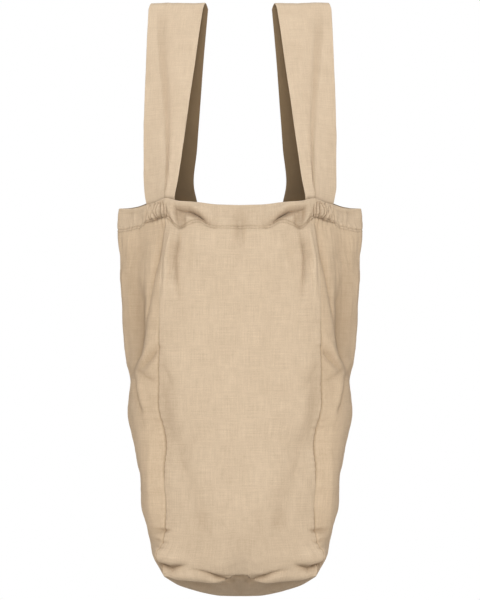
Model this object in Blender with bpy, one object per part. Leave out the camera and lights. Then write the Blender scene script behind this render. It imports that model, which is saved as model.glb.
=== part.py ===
"""A linen shopping bag, hanging by its two wide shoulder straps with its body filled out.

The bag is one soft shell: front, back, two side gussets and a base, sewn edge to edge, with a
turned hem around the mouth and a strap on each side that runs from the front of the mouth, over
whatever the bag hangs on, to the back. Every cloth piece is a thin closed wall of its own.

Frame, in metres: +Z up, the front faces -Y, and the origin is where the straps rest on the bar
or hook that holds the bag.
"""

import math
from collections import namedtuple

import bmesh
import bpy
import numpy as np

# Overall sizes of the bag as it hangs
STRAP_DROP = 0.251
BODY_HEIGHT = 0.488
BODY_WIDTH = 0.304
PANEL_WIDTH = 0.204
GUSSET_WIDTH = 0.160

# How far the soft faces stand out of flat
FRONT_BULGE = 0.036
BACK_BULGE = 0.034
BASE_SAG = 0.023

# Hem, gathers and straps
HEM_HEIGHT = 0.029
GATHER_DEPTH = 0.0011
GATHER_COUNT = 5
STRAP_WIDTH = 0.066
STRAP_TUCK = 0.022
STRAP_PLEAT = 0.010
HANG_RADIUS = 0.006

# Cloth: one layer in the body, three in the hem, two in a strap
CLOTH_WALL = 0.0015
HEM_WALL = 0.0026
STRAP_WALL = 0.0020

# Clear space between pieces that are sewn to each other, and how loosely a strap's end lies
# behind the hem
SEAM_GAP = 0.0004
TUCK_EASE = 0.0014

# Places around the ring of the mouth: 0 is the middle of the front, 1 the front seam, 2 the
# side fold, 3 the back seam and 4 the middle of the back. Places on the left are negative.
FRONT_SEAM = 1.0
SIDE_FOLD = 2.0
BACK_SEAM = 3.0
BACK_MIDDLE = 4.0

# How far around the ring the direction of a fold's rise is evened out
FOLD_REACH = 0.18

# Powers that shape the faces' swell and the base's sag, and that fade the mouth's lifts, the
# rim's lifts and a strap's seat away from their own edge
SWELL_POWER = 2.3
SAG_POWER = 2.4
MOUTH_FADE = 6
RIM_FADE = 14
SEAT_FADE = 8

# How far the gathers reach, in shares of the hem's height
GATHER_REACH = 1.2

WALL_HEIGHT = BODY_HEIGHT - BASE_SAG
HALF_BODY = BODY_WIDTH / 2
HALF_PANEL = PANEL_WIDTH / 2
HALF_GUSSET = GUSSET_WIDTH / 2

# The body's level sections. down is a share of WALL_HEIGHT below the mouth, side of HALF_BODY,
# seam of HALF_PANEL, depth of HALF_GUSSET, bulge of FRONT_BULGE or BACK_BULGE, and roundness
# is 1 for a gusset folded sharply in two and 2 for one rounded like a barrel.
Section = namedtuple("Section", "down side seam depth bulge roundness")
SECTIONS = (
    Section(0.000, 0.987, 0.902, 0.67, 0.34, 1.02),
    Section(0.045, 0.996, 0.912, 0.70, 0.36, 1.03),
    Section(0.095, 1.005, 0.945, 0.74, 0.42, 1.06),
    Section(0.185, 0.983, 0.975, 0.79, 0.55, 1.15),
    Section(0.300, 0.960, 0.985, 0.84, 0.64, 1.35),
    Section(0.410, 0.930, 1.000, 0.88, 0.72, 1.55),
    Section(0.470, 0.909, 1.004, 0.89, 0.78, 1.70),
    Section(0.545, 0.911, 0.998, 0.90, 0.86, 1.80),
    Section(0.630, 0.872, 0.910, 0.90, 0.96, 1.85),
    Section(0.720, 0.834, 0.925, 0.92, 1.00, 1.90),
    Section(0.825, 0.786, 0.908, 0.95, 1.00, 1.95),
    Section(0.900, 0.728, 0.945, 0.98, 0.86, 2.00),
    Section(0.955, 0.710, 1.000, 1.00, 0.58, 2.00),
    Section(1.000, 0.668, 0.985, 0.98, 0.22, 2.00),
)

# The mouth's edge, above or below its level at the middle of the front, in shares of HEM_HEIGHT
Lift = namedtuple("Lift", "place lift")
MOUTH_LIFTS = (
    Lift(0.00, 0.00),
    Lift(0.36, 0.04),
    Lift(0.60, 0.14),
    Lift(0.80, 0.17),
    Lift(1.00, 0.30),
    Lift(1.19, 0.15),
    Lift(1.43, 0.03),
    Lift(1.64, -0.11),
    Lift(2.00, -0.14),
    Lift(2.36, -0.08),
    Lift(2.70, 0.18),
    Lift(3.00, 0.42),
    Lift(3.30, 0.36),
    Lift(3.65, 0.08),
    Lift(4.00, -0.05),
)

# The lower edge of the walls, above or below the base's rim level, in shares of BASE_SAG
RIM_LIFTS = (
    Lift(0.00, 0.14),
    Lift(0.24, 0.12),
    Lift(0.40, -0.10),
    Lift(0.62, -0.16),
    Lift(0.80, -0.18),
    Lift(0.92, 0.05),
    Lift(1.00, 0.50),
    Lift(1.12, 0.40),
    Lift(1.50, 0.12),
    Lift(2.00, 0.05),
    Lift(2.50, 0.12),
    Lift(2.90, 0.40),
    Lift(3.00, 0.50),
    Lift(3.10, 0.15),
    Lift(3.40, -0.10),
    Lift(4.00, 0.02),
)

# Dents and folds of the cloth. path is a line seen from the front, each point a share of
# HALF_BODY outwards and of WALL_HEIGHT below the mouth. width is a share of HALF_PANEL and
# rise, outwards if positive, a share of FRONT_BULGE. faces says which face carries the fold.
Fold = namedtuple("Fold", "name faces path width rise")
FRONT = (-1,)
BOTH = (-1, 1)
FOLDS = (
    Fold("strap_ridge", BOTH, ((0.565, 0.075), (0.600, 0.145), (0.625, 0.225)), 0.045, 0.13),
    Fold("gusset_valley", BOTH, ((0.640, 0.055), (0.655, 0.120), (0.745, 0.255)), 0.050, -0.16),
    Fold("panel_valley", BOTH, ((0.500, 0.080), (0.525, 0.160), (0.505, 0.250)), 0.055, -0.16),
    Fold("side_crease", BOTH, ((0.835, 0.240), (0.840, 0.330), (0.885, 0.440)), 0.050, -0.15),
    Fold("waist_crease", BOTH, ((0.670, 0.380), (0.735, 0.420), (0.770, 0.430)), 0.045, -0.14),
    Fold("waist_ridge", BOTH, ((0.790, 0.480), (0.780, 0.560), (0.740, 0.680)), 0.060, 0.10),
    Fold("mouth_lip", FRONT, ((0.520, 0.004), (0.390, 0.008), (0.200, 0.040)), 0.050, 0.12),
    Fold("mouth_hollow", FRONT, ((0.510, 0.022), (0.380, 0.026), (0.220, 0.052)), 0.060, -0.13),
    Fold("middle_hollow", BOTH, ((0.000, 0.030), (0.000, 0.110)), 0.130, -0.14),
    Fold("low_dent", BOTH, ((0.440, 0.720), (0.200, 0.850)), 0.200, -0.12),
    Fold("corner_tuck", BOTH, ((0.660, 0.950), (0.500, 0.965)), 0.060, -0.12),
)

# A strap's two runs. down is a share of the way from the bar to the mouth, middle is the run's
# distance from the middle of the bag in shares of HALF_PANEL, width is a share of STRAP_WIDTH,
# and pleat is the depth of the fold along the run in shares of STRAP_PLEAT.
Run = namedtuple("Run", "down middle width pleat")
FRONT_RUN = (
    Run(0.00, 0.780, 1.00, 0.10),
    Run(0.21, 0.848, 0.91, 0.55),
    Run(0.50, 0.926, 0.76, 1.00),
    Run(0.75, 0.976, 0.59, 1.00),
    Run(1.00, 0.985, 0.53, 0.25),
)
BACK_RUN = (
    Run(0.00, 0.728, 1.00, 0.10),
    Run(0.21, 0.768, 0.96, 0.30),
    Run(0.50, 0.815, 0.88, 0.45),
    Run(0.75, 0.833, 0.82, 0.40),
    Run(1.00, 0.800, 0.80, 0.10),
)

# Where the pleat lies across a strap, from -1 at its inner edge to 1, how wide it is, and how
# much of its depth the edges take back the other way
PLEAT_PLACE = -0.10
PLEAT_SPREAD = 0.42
PLEAT_BALANCE = 0.35

# Columns and rows of the facets
PANEL_COLUMNS = 20
BACK_COLUMNS = 14
GUSSET_COLUMNS = 12
HEM_ROWS = 4
WALL_ROWS = 19
BASE_RINGS = 4
STRAP_COLUMNS = 8
RUN_ROWS = 10
BEND_ROWS = 5
TUCK_ROWS = 2

# Colour, roughness and metallic value of each cloth
FACE_LINEN = ((0.66, 0.53, 0.38, 1.0), 0.92, 0.0)
SIDE_LINEN = ((0.60, 0.47, 0.33, 1.0), 0.92, 0.0)
STRAP_LINEN = ((0.68, 0.55, 0.40, 1.0), 0.92, 0.0)


def clear_scene():
    """Remove whatever the new file starts with."""
    for item in list(bpy.data.objects):
        bpy.data.objects.remove(item, do_unlink=True)


def cloth_material(name, finish):
    """Make the material of one kind of cloth."""
    colour, roughness, metallic = finish
    material = bpy.data.materials.new(name)
    material.use_nodes = True
    shader = material.node_tree.nodes["Principled BSDF"]
    shader.inputs["Base Color"].default_value = colour
    shader.inputs["Roughness"].default_value = roughness
    shader.inputs["Metallic"].default_value = metallic
    material.diffuse_color = colour
    return material


def curve_through(rows, column, at):
    """Read one column of a table as a smooth curve of its first column."""
    known = np.array([row[0] for row in rows], dtype=float)
    values = np.array([getattr(row, column) for row in rows], dtype=float)
    slopes = np.gradient(values, known)
    at = np.clip(at, known[0], known[-1])
    index = np.clip(np.searchsorted(known, at, side="right") - 1, 0, len(known) - 2)
    span = known[index + 1] - known[index]
    share = (at - known[index]) / span
    start = (1 + 2 * share) * (1 - share) ** 2
    leave = share * (1 - share) ** 2
    end = share * share * (3 - 2 * share)
    arrive = share * share * (share - 1)
    return (start * values[index] + leave * span * slopes[index]
            + end * values[index + 1] + arrive * span * slopes[index + 1])


def unit(vectors):
    """Scale vectors to length one."""
    length = np.linalg.norm(vectors, axis=-1, keepdims=True)
    return vectors / np.maximum(length, 1e-12)


def section_outline(place, down):
    """Plan position of the body at a place around it and a depth down the wall."""
    around = np.abs(place)
    level = np.minimum(down, 1.0)
    side = curve_through(SECTIONS, "side", level) * HALF_BODY
    seam = curve_through(SECTIONS, "seam", level) * HALF_PANEL
    depth = curve_through(SECTIONS, "depth", level) * HALF_GUSSET
    bulge = curve_through(SECTIONS, "bulge", level)
    roundness = curve_through(SECTIONS, "roundness", level)
    turn = SIDE_FOLD - np.clip(around, FRONT_SEAM, BACK_SEAM)
    across = np.where(around < FRONT_SEAM, around, np.minimum(BACK_MIDDLE - around, 1.0))
    swell = 1 - np.abs(across) ** SWELL_POWER
    gusset_x = seam + (side - seam) * (1 - np.abs(turn) ** roundness)
    on_gusset = (around >= FRONT_SEAM) & (around <= BACK_SEAM)
    x = np.where(on_gusset, gusset_x, seam * across)
    front_y = -depth - FRONT_BULGE * bulge * swell
    back_y = depth + BACK_BULGE * bulge * swell
    y = np.where(on_gusset, -depth * turn, np.where(around < FRONT_SEAM, front_y, back_y))
    return np.sign(place) * x, y


def body_level(place, down):
    """Height of the body at a place around it and a depth down the wall."""
    around = np.abs(place)
    level = np.minimum(down, 1.0)
    mouth = curve_through(MOUTH_LIFTS, "lift", around) * HEM_HEIGHT * (1 - level) ** MOUTH_FADE
    rim = curve_through(RIM_LIFTS, "lift", around) * BASE_SAG * level ** RIM_FADE
    return -STRAP_DROP - level * WALL_HEIGHT + mouth + rim


def plain_body(place, down):
    """The body's middle surface without its folds; past 1, down runs along the base."""
    place = (place + BACK_MIDDLE) % (2 * BACK_MIDDLE) - BACK_MIDDLE
    x, y = section_outline(place, down)
    z = body_level(place, down)
    inward = np.clip(down - 1.0, 0.0, 1.0)
    lowest = -STRAP_DROP - BODY_HEIGHT
    z = lowest + (z - lowest) * (1 - inward) ** SAG_POWER
    return np.stack([x * (1 - inward), y * (1 - inward), z], axis=-1)


def surface_frame(surface, place, down, reach=2e-3):
    """Outward, along and downward directions of a surface, halfway between its two sides.

    reach is how far around the ring each side is looked at.
    """
    here = surface(place, down)
    after = surface(place + reach, down)
    before = surface(place - reach, down)
    along = unit(after - here) + unit(here - before)
    lower = surface(place, down + 2e-3)
    upper = surface(place, down - 2e-3)
    below = unit(lower - here) + unit(here - upper)
    return unit(np.cross(below, along)), unit(along), unit(below)


def distance_to_path(x, z, path):
    """Distance, seen from the front, to a fold's line."""
    nearest = np.full(np.shape(x), np.inf)
    for (x0, down0), (x1, down1) in zip(path[:-1], path[1:]):
        start = np.array([x0 * HALF_BODY, -STRAP_DROP - down0 * WALL_HEIGHT])
        end = np.array([x1 * HALF_BODY, -STRAP_DROP - down1 * WALL_HEIGHT])
        run = end - start
        share = ((x - start[0]) * run[0] + (z - start[1]) * run[1]) / (run @ run)
        share = np.clip(share, 0.0, 1.0)
        away = np.hypot(x - start[0] - share * run[0], z - start[1] - share * run[1])
        nearest = np.minimum(nearest, away)
    return nearest


def fold_rise(points):
    """How far the folds lift the cloth at points of the plain body."""
    x = np.abs(points[..., 0])
    facing = np.sign(points[..., 1])
    rise = np.zeros(x.shape)
    for fold in FOLDS:
        away = distance_to_path(x, points[..., 2], fold.path)
        amount = fold.rise * FRONT_BULGE * np.exp(-(away / (fold.width * HALF_PANEL)) ** 2)
        for face in fold.faces:
            rise += np.where(facing == face, amount, 0.0)
    return rise


def gather_rise(place, down):
    """Small upright puckers of the hem over the ends of the straps."""
    start = FRONT_SEAM - 0.02
    end = strap_place(1.0, True)
    around = BACK_MIDDLE / 2 - np.abs(np.abs(place) % BACK_MIDDLE - BACK_MIDDLE / 2)
    share = np.clip((around - start) / (end - start), 0.0, 1.0)
    reach = np.clip(down * WALL_HEIGHT / (HEM_HEIGHT * GATHER_REACH), 0.0, 1.0)
    fade = np.sqrt(4 * share * (1 - share)) * 4 * reach * (1 - reach)
    return GATHER_DEPTH * np.sin(2 * math.pi * GATHER_COUNT * share) * fade


def body(place, down):
    """The body's middle surface with its dents, folds and gathers."""
    points = plain_body(place, down)
    normals = surface_frame(plain_body, place, np.minimum(down, 1.9), FOLD_REACH)[0]
    rise = fold_rise(points) * np.clip(2 - down, 0.0, 1.0) + gather_rise(place, down)
    return points + normals * rise[..., None]


def drawn_back(inwards, along, normals):
    """How a seam's edge moves, square to the seam, to leave half of the gap."""
    square = unit(np.cross(along, normals))
    side = np.sign(np.sum(square * inwards, axis=-1, keepdims=True))
    return square * side * SEAM_GAP / 2


def cloth_faces(places, downs, wall, seams):
    """Outer and inner faces of a cloth wall over a grid of places and depths.

    seams names the edges that are sewn to another piece: start and end around the ring, top
    and bottom along the wall. Each of them is drawn back by half of the seam's gap.
    """
    place_grid, down_grid = np.meshgrid(places, downs)
    middle = body(place_grid, down_grid)
    normals, along, below = surface_frame(body, place_grid, down_grid)
    drawn = middle.copy()
    for name, column, beside in (("start", 0, 1), ("end", -1, -2)):
        if name in seams:
            inwards = middle[:, beside] - middle[:, column]
            drawn[:, column] += drawn_back(inwards, below[:, column], normals[:, column])
    for name, row, beside in (("top", 0, 1), ("bottom", -1, -2)):
        if name in seams:
            inwards = middle[beside] - middle[row]
            drawn[row] += drawn_back(inwards, along[row], normals[row])
    return drawn + normals * wall / 2, drawn - normals * wall / 2


def wall_rim(work, near, far):
    """Close a wall along one edge; every rim has the same diagonals, so that seams match."""
    for (near_a, near_b), (far_a, far_b) in zip(zip(near[:-1], near[1:]), zip(far[:-1], far[1:])):
        work.faces.new((near_a, near_b, far_a))
        work.faces.new((near_b, far_b, far_a))


def cloth_solid(name, outer, inner, material, closed=False, pole=False):
    """Make a closed wall from its two faces, a ring if closed, ending in a point if pole."""
    rows, columns = outer.shape[:2]
    work = bmesh.new()
    sides = []
    for face in (outer, inner):
        grid = [[work.verts.new(face[i, j]) for j in range(columns)]
                for i in range(rows - 1 if pole else rows)]
        if closed:
            grid = [row + row[:1] for row in grid]
        sides.append(grid)
        for upper, lower in zip(grid[:-1], grid[1:]):
            for corners in zip(upper[:-1], lower[:-1], lower[1:], upper[1:]):
                work.faces.new(corners)
        if pole:
            tip = work.verts.new(face[-1].mean(axis=0))
            for first, second in zip(grid[-1][:-1], grid[-1][1:]):
                work.faces.new((first, tip, second))
    bmesh.ops.triangulate(work, faces=work.faces[:], quad_method="SHORT_EDGE")
    near, far = sides
    wall_rim(work, near[0], far[0])
    if not pole:
        wall_rim(work, near[-1], far[-1])
    if not closed:
        wall_rim(work, [row[0] for row in near], [row[0] for row in far])
        wall_rim(work, [row[-1] for row in near], [row[-1] for row in far])
    bmesh.ops.recalc_face_normals(work, faces=work.faces[:])
    mesh = bpy.data.meshes.new(name)
    work.to_mesh(mesh)
    work.free()
    mesh.shade_smooth()
    mesh.set_sharp_from_angle(angle=math.radians(50))
    mesh.materials.append(material)
    item = bpy.data.objects.new(name, mesh)
    bpy.context.scene.collection.objects.link(item)


def crowded(start, end, count):
    """Places from start to end, set closer together towards both ends."""
    share = np.linspace(0.0, 1.0, count + 1)
    eased = 0.55 * share + 0.45 * (1 - np.cos(math.pi * share)) / 2
    return start + (end - start) * eased


def hem_share():
    """Depth of the hem's lower edge, as a share of the wall."""
    return HEM_HEIGHT / WALL_HEIGHT


def wall_downs():
    """Depths of the facets of the panels and gussets."""
    return crowded(hem_share(), 1.0, WALL_ROWS)


def panel_places():
    """Places of each panel's columns around the ring, by the panel's name."""
    return {
        "front_panel": crowded(-FRONT_SEAM, FRONT_SEAM, PANEL_COLUMNS),
        "right_gusset": crowded(FRONT_SEAM, BACK_SEAM, GUSSET_COLUMNS),
        "back_panel": crowded(BACK_SEAM, 2 * BACK_MIDDLE - BACK_SEAM, BACK_COLUMNS),
        "left_gusset": crowded(-BACK_SEAM, -FRONT_SEAM, GUSSET_COLUMNS),
    }


def ring_places():
    """Places of all the columns around the ring, once each, in order."""
    panels = panel_places()
    order = ("front_panel", "right_gusset", "back_panel", "left_gusset")
    runs = [panels[name][:-1] + (2 * BACK_MIDDLE if name == "left_gusset" else 0) for name in order]
    return np.concatenate(runs)


def build_panels(face_cloth, side_cloth):
    """Front, back and the two gussets."""
    for name, places in panel_places().items():
        outer, inner = cloth_faces(places, wall_downs(), CLOTH_WALL, "start end top bottom")
        cloth_solid(name, outer, inner, side_cloth if name.endswith("gusset") else face_cloth)


def build_base(cloth):
    """The sagging base, seamed to the lower edge of all four walls."""
    downs = 1 + np.linspace(0.0, 1.0, BASE_RINGS + 1) ** 0.9
    downs[-1] = 1.999
    outer, inner = cloth_faces(ring_places(), downs, CLOTH_WALL, "top")
    cloth_solid("base_panel", outer, inner, cloth, closed=True, pole=True)


def refine(places):
    """Split the steps around the ring finely where the hem is gathered."""
    finer = []
    ends = np.append(places[1:], places[0] + 2 * BACK_MIDDLE)
    for start, end in zip(places, ends):
        around = abs(((start + end) / 2 + BACK_MIDDLE) % (2 * BACK_MIDDLE) - BACK_MIDDLE)
        mirrored = BACK_MIDDLE - around if around > SIDE_FOLD else around
        pieces = 3 if FRONT_SEAM < mirrored < strap_place(1.0, True) + 0.05 else 1
        finer.extend(np.linspace(start, end, pieces, endpoint=False))
    return np.array(finer)


def build_hem(cloth):
    """The turned hem, a thicker ring around the mouth, gathered over the strap ends."""
    ring = ring_places()
    places = refine(ring)
    downs = np.linspace(0.0, hem_share(), HEM_ROWS + 1)
    faces = cloth_faces(places, downs, HEM_WALL, "bottom")
    joint = cloth_faces(ring, downs[-2:], HEM_WALL, "bottom")
    for face, edge in zip(faces, joint):
        around = np.append(ring, ring[0] + 2 * BACK_MIDDLE)
        corners = np.vstack([edge[-1], edge[-1][:1]])
        for axis in range(3):
            face[-1, :, axis] = np.interp(places, around, corners[:, axis])
    cloth_solid("mouth_hem", faces[0], faces[1], cloth, closed=True)


def strap_place(across, front):
    """Place around the mouth that a strap's edge is sewn to; across is -1 inside, 1 outside."""
    run = FRONT_RUN[-1] if front else BACK_RUN[-1]
    mouth = SECTIONS[0]
    x = run.middle * HALF_PANEL + across * run.width * STRAP_WIDTH / 2
    seam = mouth.seam * HALF_PANEL
    side = mouth.side * HALF_BODY
    on_gusset = np.clip((x - seam) / (side - seam), 0.0, 1.0)
    place = np.where(x < seam, x / seam, FRONT_SEAM + on_gusset)
    return place if front else BACK_MIDDLE - place


def strap_seat(across, down, front):
    """Middle of a strap's sewn end, behind the hem at a depth down the wall."""
    place = strap_place(across, front)
    inset = HEM_WALL / 2 + GATHER_DEPTH + TUCK_EASE + STRAP_WALL / 2
    normals = surface_frame(plain_body, place, down, FOLD_REACH)[0]
    points = plain_body(place, down)
    return points + normals * (fold_rise(points)[..., None] - inset)


def pleat_depth(across, amount):
    """Depth of the soft fold along a strap's middle."""
    away = (across - PLEAT_PLACE) / PLEAT_SPREAD
    return STRAP_PLEAT * amount * (np.exp(-away ** 2) - PLEAT_BALANCE)


def strap_run(across, share, front):
    """Middle surface of one run of a strap; share is 0 at the bar and 1 at the mouth."""
    rows = FRONT_RUN if front else BACK_RUN
    face = -1 if front else 1
    width = curve_through(rows, "width", share) * STRAP_WIDTH
    x = curve_through(rows, "middle", share) * HALF_PANEL + across * width / 2
    seat = strap_seat(across, np.zeros_like(across), front)
    x = x + (seat[..., 0] - x) * share ** SEAT_FADE
    top_y = face * (HANG_RADIUS + STRAP_WALL / 2)
    amount = curve_through(rows, "pleat", share)
    y = top_y + (seat[..., 1] - top_y) * share - face * pleat_depth(across, amount)
    z = -HANG_RADIUS + (seat[..., 2] + HANG_RADIUS) * share
    return np.stack([x, y, z], axis=-1)


def strap_bend(across, turn):
    """Middle surface of a strap's bend over the bar; turn runs from 0 in front to 1 behind."""
    ends = [strap_run(across, np.zeros_like(across), front) for front in (True, False)]
    x = ends[0][..., 0] + (ends[1][..., 0] - ends[0][..., 0]) * turn
    angle = math.pi * turn
    lean = ends[0][..., 1] + (ends[1][..., 1] - ends[0][..., 1]) * (1 - np.cos(angle)) / 2
    z = -HANG_RADIUS + (HANG_RADIUS + STRAP_WALL / 2) * np.sin(angle)
    return np.stack([x, lean, z], axis=-1)


def strap_middle():
    """Grid of a whole strap's middle surface, from its front end over the bar to its back end."""
    across = np.linspace(-1.0, 1.0, STRAP_COLUMNS + 1)
    tucks = np.linspace(STRAP_TUCK / WALL_HEIGHT, 0.0, TUCK_ROWS, endpoint=False)
    shares = np.linspace(1.0, 0.0, RUN_ROWS + 1)
    rows = [strap_seat(across, np.full_like(across, down), True) for down in tucks]
    rows += [strap_run(across, np.full_like(across, share), True) for share in shares]
    turns = np.linspace(0.0, 1.0, BEND_ROWS + 1)[1:-1]
    rows += [strap_bend(across, np.full_like(across, turn)) for turn in turns]
    rows += [strap_run(across, np.full_like(across, share), False) for share in shares[::-1]]
    rows += [strap_seat(across, np.full_like(across, down), False) for down in tucks[::-1]]
    return np.array(rows)


def build_straps(cloth):
    """The two shoulder straps, mirror images of each other."""
    for name, side in (("right_strap", 1), ("left_strap", -1)):
        middle = strap_middle() * np.array([side, 1, 1])
        along = np.gradient(middle, axis=0)
        across = np.gradient(middle, axis=1)
        normals = unit(np.cross(across, along)) * side
        outer = middle + normals * STRAP_WALL / 2
        inner = middle - normals * STRAP_WALL / 2
        cloth_solid(name, outer, inner, cloth)


def main():
    """Build the bag, piece by piece."""
    clear_scene()
    face_cloth = cloth_material("face_linen", FACE_LINEN)
    side_cloth = cloth_material("side_linen", SIDE_LINEN)
    strap_cloth = cloth_material("strap_linen", STRAP_LINEN)
    build_panels(face_cloth, side_cloth)
    build_base(face_cloth)
    build_hem(face_cloth)
    build_straps(strap_cloth)


main()
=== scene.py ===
"""Dresses the linen shopping bag: its cloth, folds, gathers and stitching, and the studio.

The bag hangs by two wide shoulder straps. Its front, back, side gussets, base, hem and straps
are surfaces worked out with numpy from a few sizes and short tables, each a closed cloth wall
that takes the place of its plain solid.
"""

import logging
import math
from dataclasses import dataclass
from enum import Enum
from typing import Callable

import bpy
import numpy as np
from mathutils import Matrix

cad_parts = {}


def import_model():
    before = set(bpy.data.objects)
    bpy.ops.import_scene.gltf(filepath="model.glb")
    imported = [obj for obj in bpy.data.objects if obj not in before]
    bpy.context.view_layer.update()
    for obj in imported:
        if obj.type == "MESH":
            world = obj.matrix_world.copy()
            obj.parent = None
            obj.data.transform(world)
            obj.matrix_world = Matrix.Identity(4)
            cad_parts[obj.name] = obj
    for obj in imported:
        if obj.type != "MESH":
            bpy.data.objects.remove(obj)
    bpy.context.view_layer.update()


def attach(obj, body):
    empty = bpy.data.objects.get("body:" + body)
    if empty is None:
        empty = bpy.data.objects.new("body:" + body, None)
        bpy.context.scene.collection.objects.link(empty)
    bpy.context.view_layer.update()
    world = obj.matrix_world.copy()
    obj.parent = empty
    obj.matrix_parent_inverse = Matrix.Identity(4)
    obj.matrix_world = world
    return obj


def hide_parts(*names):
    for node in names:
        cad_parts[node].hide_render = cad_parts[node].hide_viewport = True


LOG = logging.getLogger("bag")
Array = np.ndarray
Socket = bpy.types.NodeSocket
Material = bpy.types.Material

MM = 0.001
TINY = 1e-12
CLOTH_MAP = "cloth"
WHITE = (1.0, 1.0, 1.0)
WARM = (1.0, 0.92, 0.83)
CRISP_ROUNDING = 0.16
# share of the painted crease shade that the reverse face carries
INSIDE_CREASE = 0.5

# Places around the ring of the mouth: 0 is the middle of the front, 1 the front seam, 2 the
# side fold, 3 the back seam and 4 the middle of the back; places on the left are negative
FRONT_SEAM = 1.0
SIDE_FOLD = 2.0
BACK_SEAM = 3.0
BACK_MIDDLE = 4.0
FULL_RING = 2 * BACK_MIDDLE


class Side(Enum):
    """Left or right half of the bag, by the sign of X."""

    LEFT = -1
    RIGHT = 1


class FoldKind(Enum):
    """Cross-section of a fold: a soft roll or a sharp crease."""

    SOFT = "soft"
    CRISP = "crisp"


@dataclass(frozen=True)
class Section:
    """One level section of the body, in shares of the sizes that it follows."""

    down: float
    side: float
    seam: float
    depth: float
    bulge: float
    roundness: float


@dataclass(frozen=True)
class Lift:
    """How far an edge rises above its level at one place around the ring."""

    place: float
    lift: float


@dataclass(frozen=True)
class SeamPull:
    """How tight an upright seam is drawn at one depth down the wall, from 0 to 1."""

    down: float
    strength: float


@dataclass(frozen=True)
class HemDepth:
    """Depth of the hem's stitched edge below the mouth, in millimetres, at one place."""

    place: float
    depth: float


@dataclass(frozen=True)
class Run:
    """One level of a strap's run from the bar to the mouth."""

    down: float
    middle: float
    width: float
    step_place: float
    step_width: float
    step_depth: float


@dataclass(frozen=True)
class Fold:
    """A dent or fold of the cloth, along a line seen from the front.

    path holds points (across, below, share) in millimetres from the middle and below the bar,
    with the share of the rise there; width and rise are in millimetres, shade is how much painted
    shade darkens the cloth along the fold, and faces says which face carries it: -1 front, 1 back.
    """

    name: str
    path: tuple
    width: float
    rise: float
    kind: FoldKind = FoldKind.SOFT
    shade: float = 0.0
    faces: tuple = (-1, 1)

    def shape(self, across: Array, below: Array) -> Array:
        """Share of the fold's rise at places seen from the front.

        It is the share at the nearest point of the line times a bell of the distance to it, or
        times a plain exponential of the distance, rounded at the line, where it is crisp.

        Args:
            across: Distances from the middle, in millimetres.
            below: Distances below the bar, in millimetres.

        Returns:
            The shares, from 0 to 1.
        """
        nearest = np.full(across.shape, np.inf)
        strength = np.zeros(across.shape)
        for (x0, z0, s0), (x1, z1, s1) in zip(self.path[:-1], self.path[1:]):
            run_x, run_z = x1 - x0, z1 - z0
            travel = (across - x0) * run_x + (below - z0) * run_z
            along = np.clip(travel / (run_x ** 2 + run_z ** 2), 0, 1)
            away = np.hypot(across - x0 - along * run_x, below - z0 - along * run_z)
            strength = np.where(away < nearest, s0 + (s1 - s0) * along, strength)
            nearest = np.minimum(nearest, away)
        if self.kind is FoldKind.SOFT:
            return strength * bell(nearest, self.width)
        rounded = np.sqrt((nearest / self.width) ** 2 + CRISP_ROUNDING)
        return strength * np.exp(math.sqrt(CRISP_ROUNDING) - rounded)


def column(rows: tuple, name: str) -> Array:
    """Read one named column of a table."""
    return np.array([getattr(row, name) for row in rows], dtype=float)


def curve_through(rows: tuple, key: str, name: str, at: Array) -> Array:
    """Read a table as a smooth curve.

    Each span is a cubic that leaves and arrives with the mean slopes of the points around it.

    Args:
        rows: The table.
        key: The column that the curve runs along.
        name: The column that is read.
        at: Where to read it.

    Returns:
        The column's values there.
    """
    known = column(rows, key)
    values = column(rows, name)
    slopes = np.gradient(values, known)
    at = np.clip(at, known[0], known[-1])
    index = np.clip(np.searchsorted(known, at, side="right") - 1, 0, len(known) - 2)
    span = known[index + 1] - known[index]
    share = (at - known[index]) / span
    start = (1 + 2 * share) * (1 - share) ** 2
    leave = share * (1 - share) ** 2
    end = share * share * (3 - 2 * share)
    arrive = share * share * (share - 1)
    return (start * values[index] + leave * span * slopes[index]
            + end * values[index + 1] + arrive * span * slopes[index + 1])


def unit(vectors: Array) -> Array:
    """Scale vectors to length one."""
    return vectors / np.maximum(np.linalg.norm(vectors, axis=-1, keepdims=True), TINY)


def smooth(share: Array) -> Array:
    """Ease from 0 to 1 with level ends: 3 s squared less 2 s cubed."""
    share = np.clip(share, 0.0, 1.0)
    return share * share * (3 - 2 * share)


def bell(away: Array, reach: float) -> Array:
    """A bell of a distance: e to the power of minus the square of its share of the reach."""
    return np.exp(-(away / reach) ** 2)


def wrap(place: Array) -> Array:
    """Bring places around the ring to between -4 and 4."""
    return (place + BACK_MIDDLE) % FULL_RING - BACK_MIDDLE


def crowded(start: float, end: float, count: int, crowd: float) -> Array:
    """Places from start to end, set closer together towards both ends by a half cosine."""
    share = np.linspace(0.0, 1.0, count + 1)
    return start + (end - start) * ((1 - crowd) * share + crowd * (1 - np.cos(math.pi * share)) / 2)


def grid_normals(points: Array, closed: bool = False) -> Array:
    """Normals of a grid of points, outwards where rows run down and columns to the right.

    Args:
        points: The grid, rows by columns by 3.
        closed: True where the last column meets the first.

    Returns:
        A unit vector for each point, the cross product of the slopes down and along.
    """
    if closed:
        along = np.roll(points, -1, axis=1) - np.roll(points, 1, axis=1)
    else:
        along = np.gradient(points, axis=1)
    return unit(np.cross(np.gradient(points, axis=0), along))


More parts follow.
